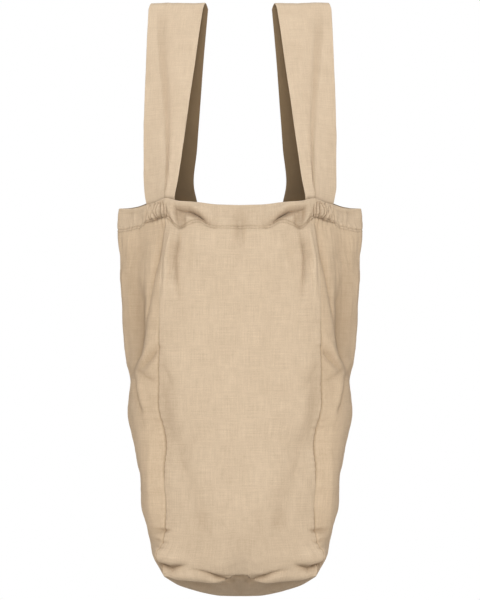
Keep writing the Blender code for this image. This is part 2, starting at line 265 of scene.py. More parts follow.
@dataclass(frozen=True)
class Crinkle:
    """Fine random rumpling of the cloth: a sum of plane waves with seeded directions.

    Each wave is a cosine of the position along its direction, longer waves standing higher,
    and the sum is scaled to the rumpling's height.
    """

    seed: int
    longest: float
    shortest: float
    height: float
    waves: int = 26
    across: float = 1.0
    along: float = 1.0
    long_power: float = 0.8

    def rise(self, around: Array, down: Array) -> Array:
        """Height of the rumpling.

        Args:
            around: Places along the ring, in metres of cloth.
            down: Places down the wall, in metres of cloth.

        Returns:
            The heights in metres.
        """
        draw = np.random.default_rng(self.seed)
        total = np.zeros(np.broadcast(around, down).shape)
        lengths = np.geomspace(self.longest, self.shortest, self.waves)
        angles = draw.uniform(0, math.pi, self.waves)
        phases = draw.uniform(0, 2 * math.pi, self.waves)
        weights = (lengths / self.longest) ** self.long_power
        for length, angle, phase, weight in zip(lengths, angles, phases, weights):
            travel = around * math.cos(angle) * self.across + down * math.sin(angle) * self.along
            total += weight * np.cos(2 * math.pi * travel / length + phase)
        return total * self.height / math.sqrt(float(np.sum(weights ** 2)) / 2) / 2


@dataclass(frozen=True)
class NoiseLayer:
    """Smooth noise: its waves to a metre along three axes, and its finer octaves."""

    scale: tuple
    detail: float


@dataclass(frozen=True)
class Ripple:
    """Uneven waves along a row of stitches: a sine whose phase sways back and forth."""

    pitch: float
    sway: float
    beat: float

    def wave(self, travel: Array, phase: Array = 0.0) -> Array:
        """Height of the waves, from -1 to 1, at distances along the stitches."""
        swayed = self.sway * np.sin(travel * self.beat)
        return np.sin(2 * math.pi * travel / self.pitch + swayed + phase)


class NodeWriter:
    """Short names for the shader nodes that the finishes are written with."""

    def __init__(self, tree: bpy.types.NodeTree) -> None:
        """Keep the node tree that is written to."""
        self.tree = tree

    def feed(self, socket: Socket, value: object) -> None:
        """Link a socket, or set it to a number, a vector or a colour.

        Args:
            socket: The socket.
            value: Another node's output, or what the socket is set to.
        """
        if isinstance(value, Socket):
            self.tree.links.new(value, socket)
        elif isinstance(value, tuple) and socket.type == "RGBA":
            socket.default_value = (*value, 1.0)
        else:
            socket.default_value = value

    def add(self, kind: str, feeds: dict, output: object = 0, **settings: object) -> Socket:
        """Add a node, set its options and feed its sockets.

        Args:
            kind: The node's type.
            feeds: What goes into each socket.
            output: The output that is wanted.
            settings: The node's options.

        Returns:
            The node's output.
        """
        node = self.tree.nodes.new(kind)
        for option, value in settings.items():
            setattr(node, option, value)
        for socket, value in feeds.items():
            self.feed(node.inputs[socket], value)
        return node.outputs[output]

    def cloth_map(self) -> Socket:
        """The piece's own map of its cloth, in metres."""
        return self.add("ShaderNodeUVMap", {}, "UV", uv_map=CLOTH_MAP)

    def object_map(self) -> Socket:
        """The piece's own coordinates."""
        return self.add("ShaderNodeTexCoord", {}, "Object")

    def attribute(self, name: str) -> Socket:
        """A number kept at each point of the piece."""
        return self.add("ShaderNodeAttribute", {}, "Fac", attribute_name=name)

    def parts(self, vector: Socket) -> tuple:
        """The first two parts of a vector."""
        first = self.add("ShaderNodeSeparateXYZ", {0: vector})
        return first, first.node.outputs[1]

    def noise(self, vector: Socket, layer: NoiseLayer) -> Socket:
        """Smooth noise of a vector, about 0.5."""
        placed = self.add("ShaderNodeMapping", {"Vector": vector, "Scale": layer.scale})
        return self.add("ShaderNodeTexNoise",
                        {"Vector": placed, "Scale": 1.0, "Detail": layer.detail})

    def math(self, operation: str, first: object, second: object = 0.5) -> Socket:
        """One sum or function of one or two numbers."""
        return self.add("ShaderNodeMath", {0: first, 1: second}, operation=operation)

    def weighted(self, parts: tuple) -> Socket:
        """Sum of values, each times its share.

        Args:
            parts: Pairs of a value and its share.

        Returns:
            The sum.
        """
        first, *others = (self.math("MULTIPLY", value, share) for value, share in parts)
        for other in others:
            first = self.math("ADD", first, other)
        return first

    def stretch(self, value: Socket, low: float, high: float) -> Socket:
        """Stretch a range of values to run from 0 to 1, with the rest held at its ends."""
        return self.add("ShaderNodeMapRange", {"Value": value, "From Min": low, "From Max": high})

    def mix(self, share: object, first: object, second: object) -> Socket:
        """Blend two colours."""
        return self.add("ShaderNodeMix", {0: share, 6: first, 7: second}, 2, data_type="RGBA")

    def bump(self, height: Socket) -> Socket:
        """Surface direction from a height in metres."""
        return self.add("ShaderNodeBump", {"Height": height, "Distance": 1.0, "Strength": 1.0})


def start_material(name: str, colour: tuple, constants: dict) -> tuple:
    """Start a material whose shader has the given constants.

    Args:
        name: The material's name.
        colour: Its colour in a plain view.
        constants: A number for each named socket of the shader.

    Returns:
        The material, its shader's sockets and a writer for its other nodes.
    """
    made = bpy.data.materials.new(name)
    made.use_nodes = True
    made.diffuse_color = (*colour, 1.0)
    sockets = made.node_tree.nodes["Principled BSDF"].inputs
    for socket, value in constants.items():
        sockets[socket].default_value = value
    return made, sockets, NodeWriter(made.node_tree)


def darker(colour: tuple, share: float) -> tuple:
    """A colour times a share."""
    return tuple(share * part for part in colour)


@dataclass(frozen=True)
class LinenFinish:
    """Plain-weave linen: warp and weft threads, slubs, faint mottling, painted crease shade and a
    reverse colour, which on the hem and straps is a dark painted shade.

    Colours are linear red, green and blue; lengths are metres of cloth. A range is what is
    stretched to run from 0 to 1, and a tone is a layer's share of the way from deep to face.
    """

    name: str
    face: tuple
    deep: tuple
    # the reverse's colour; dark brown on the hem and straps as painted shade of the inside
    reverse: tuple
    reverse_depth: float = 0.86
    thread: float = 0.00068
    wander: NoiseLayer = NoiseLayer((260, 260, 1), 2.0)
    drift: float = 2.4
    warp_slubs: NoiseLayer = NoiseLayer((1250, 34, 1), 2.0)
    weft_slubs: NoiseLayer = NoiseLayer((30, 1250, 1), 2.0)
    slub_range: tuple = (0.72, 1.34)
    mottle: NoiseLayer = NoiseLayer((24, 17, 1), 4.0)
    clouds: NoiseLayer = NoiseLayer((120, 85, 1), 3.0)
    mottle_share: float = 0.5
    mottle_range: tuple = (0.34, 0.66)
    grain: NoiseLayer = NoiseLayer((620, 620, 1), 3.0)
    grain_range: tuple = (0.3, 0.7)
    slub_tone: float = 0.46
    mottle_tone: float = 0.26
    grain_tone: float = 0.22
    weave_tone: float = 0.06
    roughness: float = 0.9
    sheen: float = 0.12
    sheen_roughness: float = 0.5
    specular: float = 0.22
    weave_depth: float = 0.00012
    slub_depth: float = 0.00010
    # painted shade: the crease attribute mixes the colour towards this dark brown, by up to this
    # share
    crease_shade_depth: float = 0.62
    crease_shade_tone: tuple = (0.230, 0.145, 0.075)

    def material(self) -> Material:
        """Build the cloth's material on the piece's own map of the cloth, in metres.

        Returns:
            A material whose weave is the product of two cosine waves a thread apart, so that
            warp and weft pass over each other in turn.
        """
        made, sockets, weaver = start_material(self.name, self.face, {
            "Roughness": self.roughness, "Sheen Weight": self.sheen,
            "Sheen Roughness": self.sheen_roughness, "Specular IOR Level": self.specular})
        cloth = weaver.cloth_map()
        wander = weaver.math("SUBTRACT", weaver.noise(cloth, self.wander), 0.5)
        drift = weaver.math("MULTIPLY", wander, self.drift)
        weave = weaver.math("MULTIPLY", *(
            weaver.math("COSINE", weaver.weighted(((way, math.pi / self.thread), (drift, 1.0))))
            for way in weaver.parts(cloth)))
        slub = weaver.math("ADD", weaver.noise(cloth, self.warp_slubs),
                           weaver.noise(cloth, self.weft_slubs))
        slub = weaver.stretch(slub, *self.slub_range)
        mottle = weaver.weighted(tuple((weaver.noise(cloth, layer), self.mottle_share)
                                       for layer in (self.mottle, self.clouds)))
        grain = weaver.stretch(weaver.noise(cloth, self.grain), *self.grain_range)
        tone = weaver.weighted((
            (slub, self.slub_tone), (weaver.stretch(mottle, *self.mottle_range), self.mottle_tone),
            (grain, self.grain_tone), (weave, self.weave_tone)))
        face = weaver.mix(tone, self.deep, self.face)
        back = weaver.mix(tone, darker(self.reverse, self.reverse_depth), self.reverse)
        colour = weaver.mix(weaver.attribute("reverse"), face, back)
        # painted shade in creases, seams, stitching and over the base: colour mixed towards a dark
        # brown
        shaded = weaver.math("MULTIPLY", weaver.attribute("crease"), self.crease_shade_depth)
        weaver.feed(sockets["Base Color"], weaver.mix(shaded, colour, self.crease_shade_tone))
        height = weaver.weighted(((weave, self.weave_depth), (slub, self.slub_depth)))
        weaver.feed(sockets["Normal"], weaver.bump(height))
        return made


@dataclass(frozen=True)
class ThreadFinish:
    """Sewing thread: a twisted, slightly glossy strand."""

    name: str
    colour: tuple
    twist: float = 0.0009
    twist_depth: float = 0.00005
    twist_tone: float = 0.8
    roughness: float = 0.62
    sheen: float = 0.1

    def material(self) -> Material:
        """Build the thread's material on its own map.

        Returns:
            A material whose twist is a sine of the way along plus the way around.
        """
        made, sockets, weaver = start_material(self.name, self.colour, {
            "Roughness": self.roughness, "Sheen Weight": self.sheen})
        along, around = weaver.parts(weaver.cloth_map())
        slant = weaver.weighted(((along, 2 * math.pi / self.twist), (around, 2 * math.pi)))
        band = weaver.math("SINE", slant)
        colour = weaver.mix(weaver.stretch(band, -1.0, 1.0), darker(self.colour, self.twist_tone),
                            self.colour)
        weaver.feed(sockets["Base Color"], colour)
        weaver.feed(sockets["Normal"], weaver.bump(weaver.math("MULTIPLY", band, self.twist_depth)))
        return made


@dataclass(frozen=True)
class PaperFinish:
    """Matt studio paper with a faint unevenness, for the floor."""

    name: str
    colour: tuple
    roughness: float = 0.95
    patches: NoiseLayer = NoiseLayer((3, 3, 3), 2.0)
    patch_tone: float = 0.98

    def material(self) -> Material:
        """Build the paper's material on the floor's own coordinates.

        Returns:
            A material of two close tones in soft patches.
        """
        constants = {"Roughness": self.roughness}
        made, sockets, weaver = start_material(self.name, self.colour, constants)
        patch = weaver.noise(weaver.object_map(), self.patches)
        tone = weaver.mix(patch, darker(self.colour, self.patch_tone), self.colour)
        weaver.feed(sockets["Base Color"], tone)
        return made


@dataclass
class Surface:
    """Points of a piece, their cloth map, how much they show the reverse, and their painted shade.
    """

    points: Array
    cloth: Array
    reverse: Array
    crease: Array


def joined(surfaces: list) -> tuple:
    """Number the points of several grids one after another.

    Args:
        surfaces: The grids.

    Returns:
        One surface of all the points in a row, and each grid's point numbers.
    """
    numbers = []
    count = 0
    for surface in surfaces:
        shape = surface.points.shape[:-1]
        size = int(np.prod(shape))
        numbers.append(np.arange(count, count + size).reshape(shape))
        count += size
    return Surface(np.concatenate([each.points.reshape(-1, 3) for each in surfaces]),
                   np.concatenate([each.cloth.reshape(-1, 2) for each in surfaces]),
                   np.concatenate([each.reverse.reshape(-1) for each in surfaces]),
                   np.concatenate([each.crease.reshape(-1) for each in surfaces])), numbers


def quads(numbers: Array) -> Array:
    """Faces of a grid of point numbers, facing where rows x columns point."""
    return np.stack([numbers[:-1, :-1], numbers[1:, :-1], numbers[1:, 1:], numbers[:-1, 1:]],
                    axis=-1).reshape(-1, 4)


def ribbon(first: Array, second: Array) -> Array:
    """Faces between two equal rows of point numbers."""
    return np.stack([first[:-1], second[:-1], second[1:], first[1:]], axis=-1).reshape(-1, 4)


def make_piece(name: str, surface: Surface, faces: Array, material: Material,
               thirds: Array = None) -> bpy.types.Object:
    """Make a mesh object with its cloth map, reverse and crease-shade attributes and its finish.

    Args:
        name: The object's name.
        surface: All its points in a row.
        faces: Four point numbers for each face.
        material: The finish.
        thirds: Three point numbers for each triangle, if there are any.

    Returns:
        The object, at the origin, smooth shaded.
    """
    mesh = bpy.data.meshes.new(name)
    listed = faces.tolist() + ([] if thirds is None else thirds.tolist())
    mesh.from_pydata(surface.points.tolist(), [], listed)
    corners = np.empty(len(mesh.loops), dtype=np.int32)
    mesh.loops.foreach_get("vertex_index", corners)
    layer = mesh.uv_layers.new(name=CLOTH_MAP)
    layer.data.foreach_set("uv", surface.cloth[corners].astype(np.float32).ravel())
    for attribute in ("reverse", "crease"):
        kept = mesh.attributes.new(attribute, "FLOAT", "POINT")
        kept.data.foreach_set("value", getattr(surface, attribute).astype(np.float32))
    mesh.shade_smooth()
    mesh.materials.append(material)
    mesh.validate(verbose=False)
    mesh.update()
    piece = bpy.data.objects.new(name, mesh)
    bpy.context.scene.collection.objects.link(piece)
    return piece


def cloth_wall(name: str, middle: Array, normals: Array, wall: float, cloth: Array,
               crease: Array, material: Material, closed: bool = False,
               rounded: int = 0) -> bpy.types.Object:
    """Make a closed wall of cloth around a grid of its middle surface.

    The face and the reverse lie half the wall either side of the middle. The first and last
    rows are joined by a half round of the given number of steps, or by a flat edge, and so are
    the first and last columns unless the grid closes on itself.

    Args:
        name: The object's name.
        middle: Points of the middle surface, rows by columns.
        normals: Outward directions there.
        wall: The cloth's thickness in metres.
        cloth: The points' places on the cloth, in metres.
        crease: How much painted shade darkens the points in creases, from 0 to 1.
        material: The finish.
        closed: True where the last column meets the first again.
        rounded: Steps of the half round along the first and last rows.

    Returns:
        The wall's object.
    """
    grid = middle.shape[:2]
    surfaces = [Surface(middle + normals * wall / 2, cloth, np.zeros(grid), crease),
                Surface(middle - normals * wall / 2, cloth, np.ones(grid), INSIDE_CREASE * crease)]
    for row, beside in ((0, 1), (-1, -2)):
        outward = unit(middle[row] - middle[beside])
        turns = math.pi * np.arange(1, rounded + 1)[:, None, None] / (rounded + 1)
        arc = middle[row] + (normals[row] * np.cos(turns) + outward * np.sin(turns)) * wall / 2
        arc_cloth = np.broadcast_to(cloth[row], (rounded, *cloth[row].shape))
        share = np.broadcast_to(smooth(turns[..., 0] * 2 / math.pi - 0.5), arc.shape[:2])
        surfaces.append(Surface(arc, arc_cloth, np.array(share),
                                np.broadcast_to(crease[row], arc.shape[:2])))
    surface, numbers = joined(surfaces)
    if closed:
        numbers = [np.hstack([each, each[:, :1]]) for each in numbers]
    front, rear, first, last = numbers
    top = np.vstack([rear[:1], first[::-1], front[:1]])
    bottom = np.vstack([front[-1:], last, rear[-1:]])
    faces = [quads(front), quads(rear)[:, ::-1], quads(top), quads(bottom)]
    if not closed:
        half = rounded // 2
        for side, order in ((0, -1), (-1, 1)):
            near = np.concatenate([first[::-1, side], front[:, side], last[:, side]])
            far = rear[:, side]
            if rounded:
                far = np.concatenate([first[:half, side][::-1], far, last[half + 1:, side]])
                near = near[half:half + len(far)]
            faces.append(ribbon(near, far)[:, ::order])
    return make_piece(name, surface, np.concatenate(faces), material)


SECTIONS = (
    Section(0.000, 0.987, 0.902, 0.67, 0.34, 1.02),
    Section(0.045, 0.996, 0.912, 0.70, 0.36, 1.03),
    Section(0.095, 1.005, 0.945, 0.74, 0.42, 1.08),
    Section(0.185, 0.983, 0.975, 0.79, 0.55, 1.40),
    Section(0.300, 0.960, 0.985, 0.84, 0.64, 1.80),
    Section(0.410, 0.930, 1.000, 0.88, 0.72, 2.10),
    Section(0.470, 0.909, 1.004, 0.89, 0.78, 2.30),
    Section(0.545, 0.911, 0.998, 0.90, 0.86, 2.60),
    Section(0.630, 0.872, 0.910, 0.90, 0.96, 4.00),
    Section(0.720, 0.822, 0.925, 0.92, 1.00, 4.80),
    Section(0.825, 0.786, 0.908, 0.95, 1.00, 4.80),
    Section(0.900, 0.728, 0.945, 0.98, 0.86, 3.80),
    Section(0.955, 0.698, 1.018, 1.00, 0.58, 2.80),
    Section(1.000, 0.622, 0.922, 0.98, 0.22, 2.30),
)

MOUTH_LIFTS = (
    Lift(0.00, 0.00), Lift(0.36, 0.04), Lift(0.60, 0.14), Lift(0.80, 0.17), Lift(1.00, 0.30),
    Lift(1.19, 0.15), Lift(1.43, 0.03), Lift(1.64, -0.11), Lift(2.00, -0.14), Lift(2.36, -0.08),
    Lift(2.70, 0.18), Lift(3.00, 0.42), Lift(3.24, 0.36), Lift(3.40, 0.10), Lift(3.65, -0.04),
    Lift(4.00, -0.06),
)

RIM_LIFTS = (
    Lift(0.00, 0.18), Lift(0.06, 0.17), Lift(0.10, 0.09), Lift(0.14, -0.06), Lift(0.18, -0.17),
    Lift(0.25, -0.26), Lift(0.34, -0.31), Lift(0.42, -0.32), Lift(0.56, -0.24), Lift(0.70, -0.20),
    Lift(0.82, -0.16), Lift(0.93, -0.02), Lift(1.00, 0.08), Lift(1.12, 0.20), Lift(1.50, 0.12),
    Lift(2.00, 0.05), Lift(2.50, 0.12), Lift(2.90, 0.20), Lift(3.00, 0.10), Lift(3.10, 0.00),
    Lift(3.40, -0.10), Lift(4.00, 0.02),
)

SOFT, CRISP = FoldKind.SOFT, FoldKind.CRISP
FRONT_ONLY = (-1,)

# a row's sixth value is the painted shade along its fold
STRAP_FOLDS = (
    Fold("strap_ridge", ((86, 282, .5), (89, 300, 1), (92, 317, 1), (92, 340, 1), (96, 372, 0)),
         3.4, 4.6),
    Fold("strap_ridge_top", ((87, 322, 0), (89, 334, 1), (91, 346, 0)), 2.0, 1.2),
    Fold("gusset_valley", ((96, 275, .6), (100, 303, .9), (103, 318, 1), (110, 348, .8),
         (117, 385, .5), (126, 428, .4), (131, 450, 0)), 2.6, -5.0, CRISP, .5),
    Fold("panel_valley", ((76, 286, .4), (80, 303, 1), (82.5, 317, 1), (80, 343, .9), (76, 372, 0)),
         3.0, -5.4, CRISP, .42),
    Fold("panel_shade", ((68, 286, .4), (70, 312, 1), (73, 362, 0)), 10.0, -4.2),
    Fold("upper_gusset_roll", ((142, 290, .6), (141, 330, 1), (138, 370, 0)), 8.0, 2.6),
    Fold("upper_gusset_hollow", ((124, 282, .4), (128, 312, 1), (130, 350, 1), (132, 400, .7),
         (134, 436, .2)), 12.0, -4.2, SOFT, .22),
    # mostly painted shade over the outer upper gusset
    Fold("upper_gusset_dim", ((142, 288, .3), (137, 320, .7), (135, 360, 1), (135, 400, 1),
         (136, 432, .5)), 11.0, -1.0, SOFT, .17),
)

SIDE_FOLDS = (
    Fold("side_crease", ((126.5, 352, .2), (126, 369, .8), (127.5, 404, 1), (131, 438, 1),
         (136, 462, .7)), 4.4, -6.2, CRISP, .42),
    Fold("side_hollow", ((133, 350, .2), (134, 395, 1), (137, 440, .6)), 8.0, -4.0, SOFT, .2),
    Fold("waist_crease", ((103, 428, .5), (109, 436, 1), (114, 443, 1), (120, 450, .9),
         (126, 458, .2)), 2.8, -5.2, CRISP, .42),
    Fold("waist_roll", ((107, 418, .4), (113, 428, 1), (121, 445, 1), (128, 456, .3)), 5.4, 4.2),
    Fold("waist_facet", ((107, 447, .3), (113, 455, 1), (118, 460, .3)), 4.0, 2.0),
    Fold("waist_crumple", ((107, 470, .4), (115, 466, 1), (122, 461, 1), (129, 455, .4)),
         1.8, -2.4, CRISP, .35),
    Fold("side_roll", ((127, 464, .4), (124, 480, 1), (121, 505, .8), (118, 530, 0)), 5.2, 3.6),
    Fold("side_nick", ((131, 468, .6), (129, 482, .7), (126.5, 496, 1), (122.5, 505, 1),
         (119.5, 513, .1)), 2.0, -4.0, CRISP, .38),
    Fold("side_nick_low", ((123, 512, .4), (120, 522, .7), (119, 535, 0)), 1.8, -1.6, CRISP, .2),
    Fold("front_nick", ((102, 446, .3), (96, 453, .9), (91, 461, .8), (84, 480, .3)),
         3.0, -1.8, CRISP, .14),
    Fold("seam_shade", ((96, 456, .2), (94, 486, 1), (90, 518, 1), (84, 548, .3)),
         9.0, -3.0, SOFT, .32),
    # mostly painted shade over the lower front
    Fold("front_dim", ((74, 640, .6), (40, 660, 1), (0, 668, .8)),
         26.0, -0.6, SOFT, .14, FRONT_ONLY),
    Fold("gusset_ridge", ((112.5, 535, 0), (112.5, 560, .9), (112.5, 610, 1), (112, 655, .2)),
         4.0, 2.4, CRISP),
    Fold("gusset_band", ((95, 603, .3), (102, 601, 1), (112, 604, .4)), 3.0, 1.8),
    Fold("low_dent", ((76, 545, .2), (70, 590, .8), (52, 640, 1), (44, 660, .2)), 13.0, -4.4),
    Fold("low_dent_line", ((78, 548, .2), (73, 575, 1), (66, 590, .2)), 4.0, -2.0, CRISP, .15),
    # a soft dent with a little painted shade
    Fold("low_shaded_dent", ((58, 634, .3), (50, 646, 1), (46, 654, .2)), 6.0, -2.2, SOFT, .1),
)

MOUTH_FOLDS = (
    Fold("mouth_lip", ((82, 249.5, .7), (72, 249.5, 1), (62, 250.5, 1), (54, 254.5, .8),
         (46, 259, 0)), 4.6, 5.4, SOFT, 0, FRONT_ONLY),
    Fold("mouth_lip_run", ((60, 253, 0), (52, 257, .9), (44, 262, 1), (37, 267, .7), (28, 271, 0)),
         6.4, 4.6, SOFT, 0, FRONT_ONLY),
    Fold("mouth_crevice", ((78.5, 257, .55), (69, 259, .85), (62, 259.6, 1), (56, 262.2, 1.1),
         (50, 265.6, 1.1), (45, 269.4, .7), (41, 272.6, .5), (35, 274, .25), (25, 277, 0)),
         1.9, -8.4, CRISP, .6, FRONT_ONLY),
    Fold("mouth_pocket", ((76, 262, .9), (74, 269, 1), (73, 276, .7)),
         5.0, -6.0, SOFT, .34, FRONT_ONLY),
    Fold("pocket_edge", ((69.2, 264, .8), (69, 274, 1)), 1.4, -2.4, CRISP, .4, FRONT_ONLY),
    Fold("mouth_flap", ((64, 267, .8), (57, 270, 1), (50, 273, .3)), 4.2, 3.6, SOFT, 0, FRONT_ONLY),
    Fold("flap_line", ((66, 262.5, .7), (58, 264.5, .9), (54, 266, .3)),
         1.2, -1.2, CRISP, .3, FRONT_ONLY),
    Fold("mouth_line", ((38, 279, .3), (32, 279.6, 1), (25, 279, .3)),
         1.2, -1.4, CRISP, .35, FRONT_ONLY),
    Fold("strap_knob", ((85.5, 246, .5), (84.8, 256, 1), (83, 266, 1), (80.5, 273, .3)),
         3.6, 2.0, SOFT, 0, FRONT_ONLY),
    Fold("knob_crevice", ((90, 258, .3), (88.4, 265, .9), (85, 271.5, .9), (80.5, 276.5, .3),
         (75, 278.5, .5), (70, 277, .2)), 1.2, -3.0, CRISP, .5, FRONT_ONLY),
    Fold("knob_right", ((79.8, 250, .3), (79.4, 262, 1), (77.6, 274, .6)),
         1.1, -2.2, CRISP, .4, FRONT_ONLY),
    Fold("middle_hollow", ((0, 254, .2), (0, 270, 1), (0, 288, 1), (0, 330, .2)),
         9.0, -5.0, SOFT, .12, FRONT_ONLY),
    Fold("middle_line", ((3.5, 262, .3), (3, 285, 1), (4, 300, .1)),
         1.6, -1.2, CRISP, .15, FRONT_ONLY),
    Fold("middle_step", ((27, 254, .5), (25, 262, 1), (23, 276, .3)),
         3.0, 1.6, SOFT, 0, FRONT_ONLY),
    Fold("hem_upright", ((132.5, 254, .5), (132, 270, 1), (131, 277, .4)), 1.6, 1.2),
    Fold("hem_roll", ((150, 261.2, .8), (136, 261.0, 1), (121, 258, .6)), 1.1, -0.8, CRISP, .25),
    Fold("hem_upright_low", ((124, 262, .3), (123, 270, .8), (123, 276, .2)), 2.2, -1.0),
)

CORNER_FOLDS = (
    Fold("corner_tuck", ((103, 699.5, 1), (95, 702.5, 1.2), (86, 705.5, 1.2), (79, 703, .9),
         (70, 699.4, .3)), 2.5, -7.0, CRISP, .95),
    Fold("corner_tuck_top", ((101, 698.5, .8), (88, 701, 1), (77, 700, .4)), 2.6, -2.6, SOFT, .8),
    Fold("corner_roll", ((100, 684, .6), (88, 690, 1), (74, 692, .4)), 7.0, 3.6),
    Fold("hem_tuck", ((60, 704.5, .2), (48, 707.5, .7), (38, 710, 1), (28, 715, 1.1),
         (16, 719, .7)), 1.8, -4.4, CRISP, .7),
    Fold("flap_roll", ((80, 713, .5), (60, 712, 1), (40, 715, .5)), 4.0, 1.4),
    Fold("flap_turn", ((88, 719, .4), (72, 722.5, 1), (50, 724.5, 1), (34, 726, .9),
         (18, 723.5, .6)), 4.6, -4.6, SOFT, .22),
    Fold("front_edge", ((40, 710.5, .2), (31, 712.4, .9), (18, 713, 1), (0, 713.2, .9)),
         1.5, -2.2, CRISP, .6),
    Fold("flap_wedge", ((31, 714.2, .4), (22, 716, 1), (14, 717.6, 1), (8, 718, .6)),
         2.4, -2.4, SOFT, .8),
    Fold("seam_tuck_one", ((107, 655, .5), (98, 655, 1.2), (92, 655.5, 1.1), (85, 655, .2)),
         1.3, -3.2, CRISP, .7),
    Fold("seam_tuck_two", ((106, 659.5, .4), (98, 658.6, 1), (90, 658.4, .6)),
         1.2, -2.2, CRISP, .5),
    Fold("seam_tuck_three", ((101, 669, .4), (96, 671, 1), (90, 670, .3)), 1.6, -1.8, CRISP, .3),
    Fold("seam_tuck_four", ((106, 664, .4), (101, 665, 1), (97, 667, .3)), 2.2, 1.8),
    Fold("seam_tuck_five", ((103, 676, .4), (99, 679, 1), (93, 677, .3)), 1.6, -1.6, CRISP, .3),
    Fold("front_crease_low", ((26, 636, .3), (22, 646, 1), (17, 652, .2)),
         1.4, -0.8, CRISP, .12, FRONT_ONLY),
)

GATHER_FOLDS = (
    Fold("gather_one", ((117.6, 255, .3), (116.9, 263, 1), (118.0, 271, .8)), 1.0, -2.6, SOFT, .5),
    Fold("gather_two", ((113.4, 251, .9), (114.4, 258, .5), (113.0, 270, .9)), 1.0, -3.8, SOFT, .6),
    Fold("gather_three", ((110.8, 254, .2), (109.2, 261, 1), (110.9, 269, 1)), 0.9, -3.6, SOFT, .6),
    Fold("gather_four", ((106.0, 250, .9), (107.4, 257, 1), (104.8, 268, 1)), 1.1, -4.8, SOFT, .8),
    Fold("gather_five", ((101.6, 249, .9), (103.4, 257, .5), (102.0, 267, 1)), 1.0, -4.0, SOFT, .7),
    Fold("gather_six", ((99.0, 248, .6), (97.4, 256, 1), (98.8, 266, 1.1)), 1.2, -5.2, SOFT, .9),
    Fold("gather_seven", ((95.8, 247, .7), (93.8, 255, 1), (95.2, 265, .7)), 0.9, -4.0, SOFT, .7),
    Fold("gather_eight", ((91.6, 250, .3), (90.8, 257, 1), (92.6, 264.5, 1)), 1.0, -4.4, SOFT, .7),
    Fold("gather_lump", ((108.4, 259, .3), (108.0, 266, 1), (108.0, 270, .5)), 1.3, 2.8),
    Fold("gather_lump_two", ((100.4, 251, .4), (100.6, 259, 1), (100.4, 265, .5)), 1.1, 2.2),
    Fold("gather_lump_three", ((96.0, 251, .3), (95.8, 259, 1), (97.0, 264, .4)), 1.0, 2.0),
    Fold("gather_lump_four", ((104.0, 252, .4), (105.0, 260, .8), (103.4, 266, .6)), 1.1, 1.8),
    Fold("gather_lump_five", ((111.8, 255, .5), (111.8, 263, 1), (112.2, 268, .4)), 1.0, 1.6),
    Fold("gather_ridge", ((119.5, 262, .5), (106, 259, 1), (91, 255, .8)), 6.0, 2.6),
    Fold("gather_line", ((119.4, 272.6, .7), (111.9, 271.4, 1), (105.6, 269, 1), (99.4, 267, 1.1),
         (91.3, 265, .9)), 0.9, -2.4, CRISP, .75, FRONT_ONLY),
    Fold("gather_tick_one", ((109.0, 271, .9), (109.5, 279, .1)), 0.9, -1.6, SOFT, .35),
    Fold("gather_tick_two", ((103.2, 270, 1), (103.8, 280, .1)), 0.9, -2.0, SOFT, .35),
    Fold("gather_tick_three", ((98.6, 268, 1), (99.0, 282, .1)), 1.0, -2.4, SOFT, .4),
    Fold("gather_tick_four", ((94.6, 267, 1), (95.2, 279, .1)), 0.9, -2.0, SOFT, .35),
    Fold("gather_tick_five", ((90.6, 268, 1), (90.8, 278, .1)), 0.9, -2.0, SOFT, .35),
)

FOLDS = STRAP_FOLDS + SIDE_FOLDS + MOUTH_FOLDS + CORNER_FOLDS + GATHER_FOLDS

SEAM_PULLS = (
    SeamPull(0.00, 0.25), SeamPull(0.30, 0.30), SeamPull(0.37, 0.90), SeamPull(0.46, 1.00),
    SeamPull(0.62, 1.00), SeamPull(0.72, 0.90), SeamPull(0.75, 0.45), SeamPull(0.80, 0.50),
    SeamPull(0.84, 0.90), SeamPull(0.93, 0.90), SeamPull(1.00, 0.60),
)

HEM_EDGE = (
    HemDepth(0.00, 28.6), HemDepth(0.36, 29.2), HemDepth(0.44, 28.0), HemDepth(0.52, 24.6),
    HemDepth(0.64, 26.0), HemDepth(0.75, 30.0), HemDepth(0.81, 32.4), HemDepth(0.86, 30.6),
    HemDepth(0.93, 25.6), HemDepth(0.99, 22.4), HemDepth(1.20, 22.6), HemDepth(1.42, 24.2),
    HemDepth(1.50, 27.6), HemDepth(1.63, 27.8), HemDepth(1.80, 30.0), HemDepth(2.00, 31.0),
    HemDepth(2.35, 29.5), HemDepth(2.60, 25.0), HemDepth(2.90, 25.0), HemDepth(3.05, 28.0),
    HemDepth(3.40, 29.5), HemDepth(4.00, 29.0),
)


@dataclass(frozen=True)
class Shades:
    """Painted shade of the seams, the stitching, the hem's edge and the base, from 0 to 1.

    drawn is what the hem's edge gains where the hem is drawn up, and faint is what it and the
    stitching lose near the middle of the front; their places and reaches are around the ring.
    The other lengths are in metres, and a rate is how fast a shade comes in down the wall.
    """

    seam: float = 0.8
    seam_start: float = 0.004
    seam_rate: float = 60
    stitch: float = 0.55
    edge: float = 0.40
    line_reach: float = 0.0009
    drawn: float = 0.55
    drawn_place: float = 1.2
    drawn_reach: float = 0.26
    faint: float = 0.6
    faint_place: float = 0.27
    faint_reach: float = 0.12
    # base and base_rate: painted shade over the underside, coming in past the rim
    base: float = 0.60
    base_rate: float = 25


@dataclass(frozen=True)
class SeamRelief:
    """Relief of an upright seam, in metres: its groove and the puckers beside it."""

    groove_depth: float = 0.0017
    groove_reach: float = 0.0011
    pucker_height: float = 0.00065
    pucker_away: float = 0.0035
    pucker_reach: float = 0.0040
    ripple: Ripple = Ripple(0.0085, 2.2, 61)
    lag: float = 1.3
    hem_fade: float = 0.008
    rim_rate: float = 40


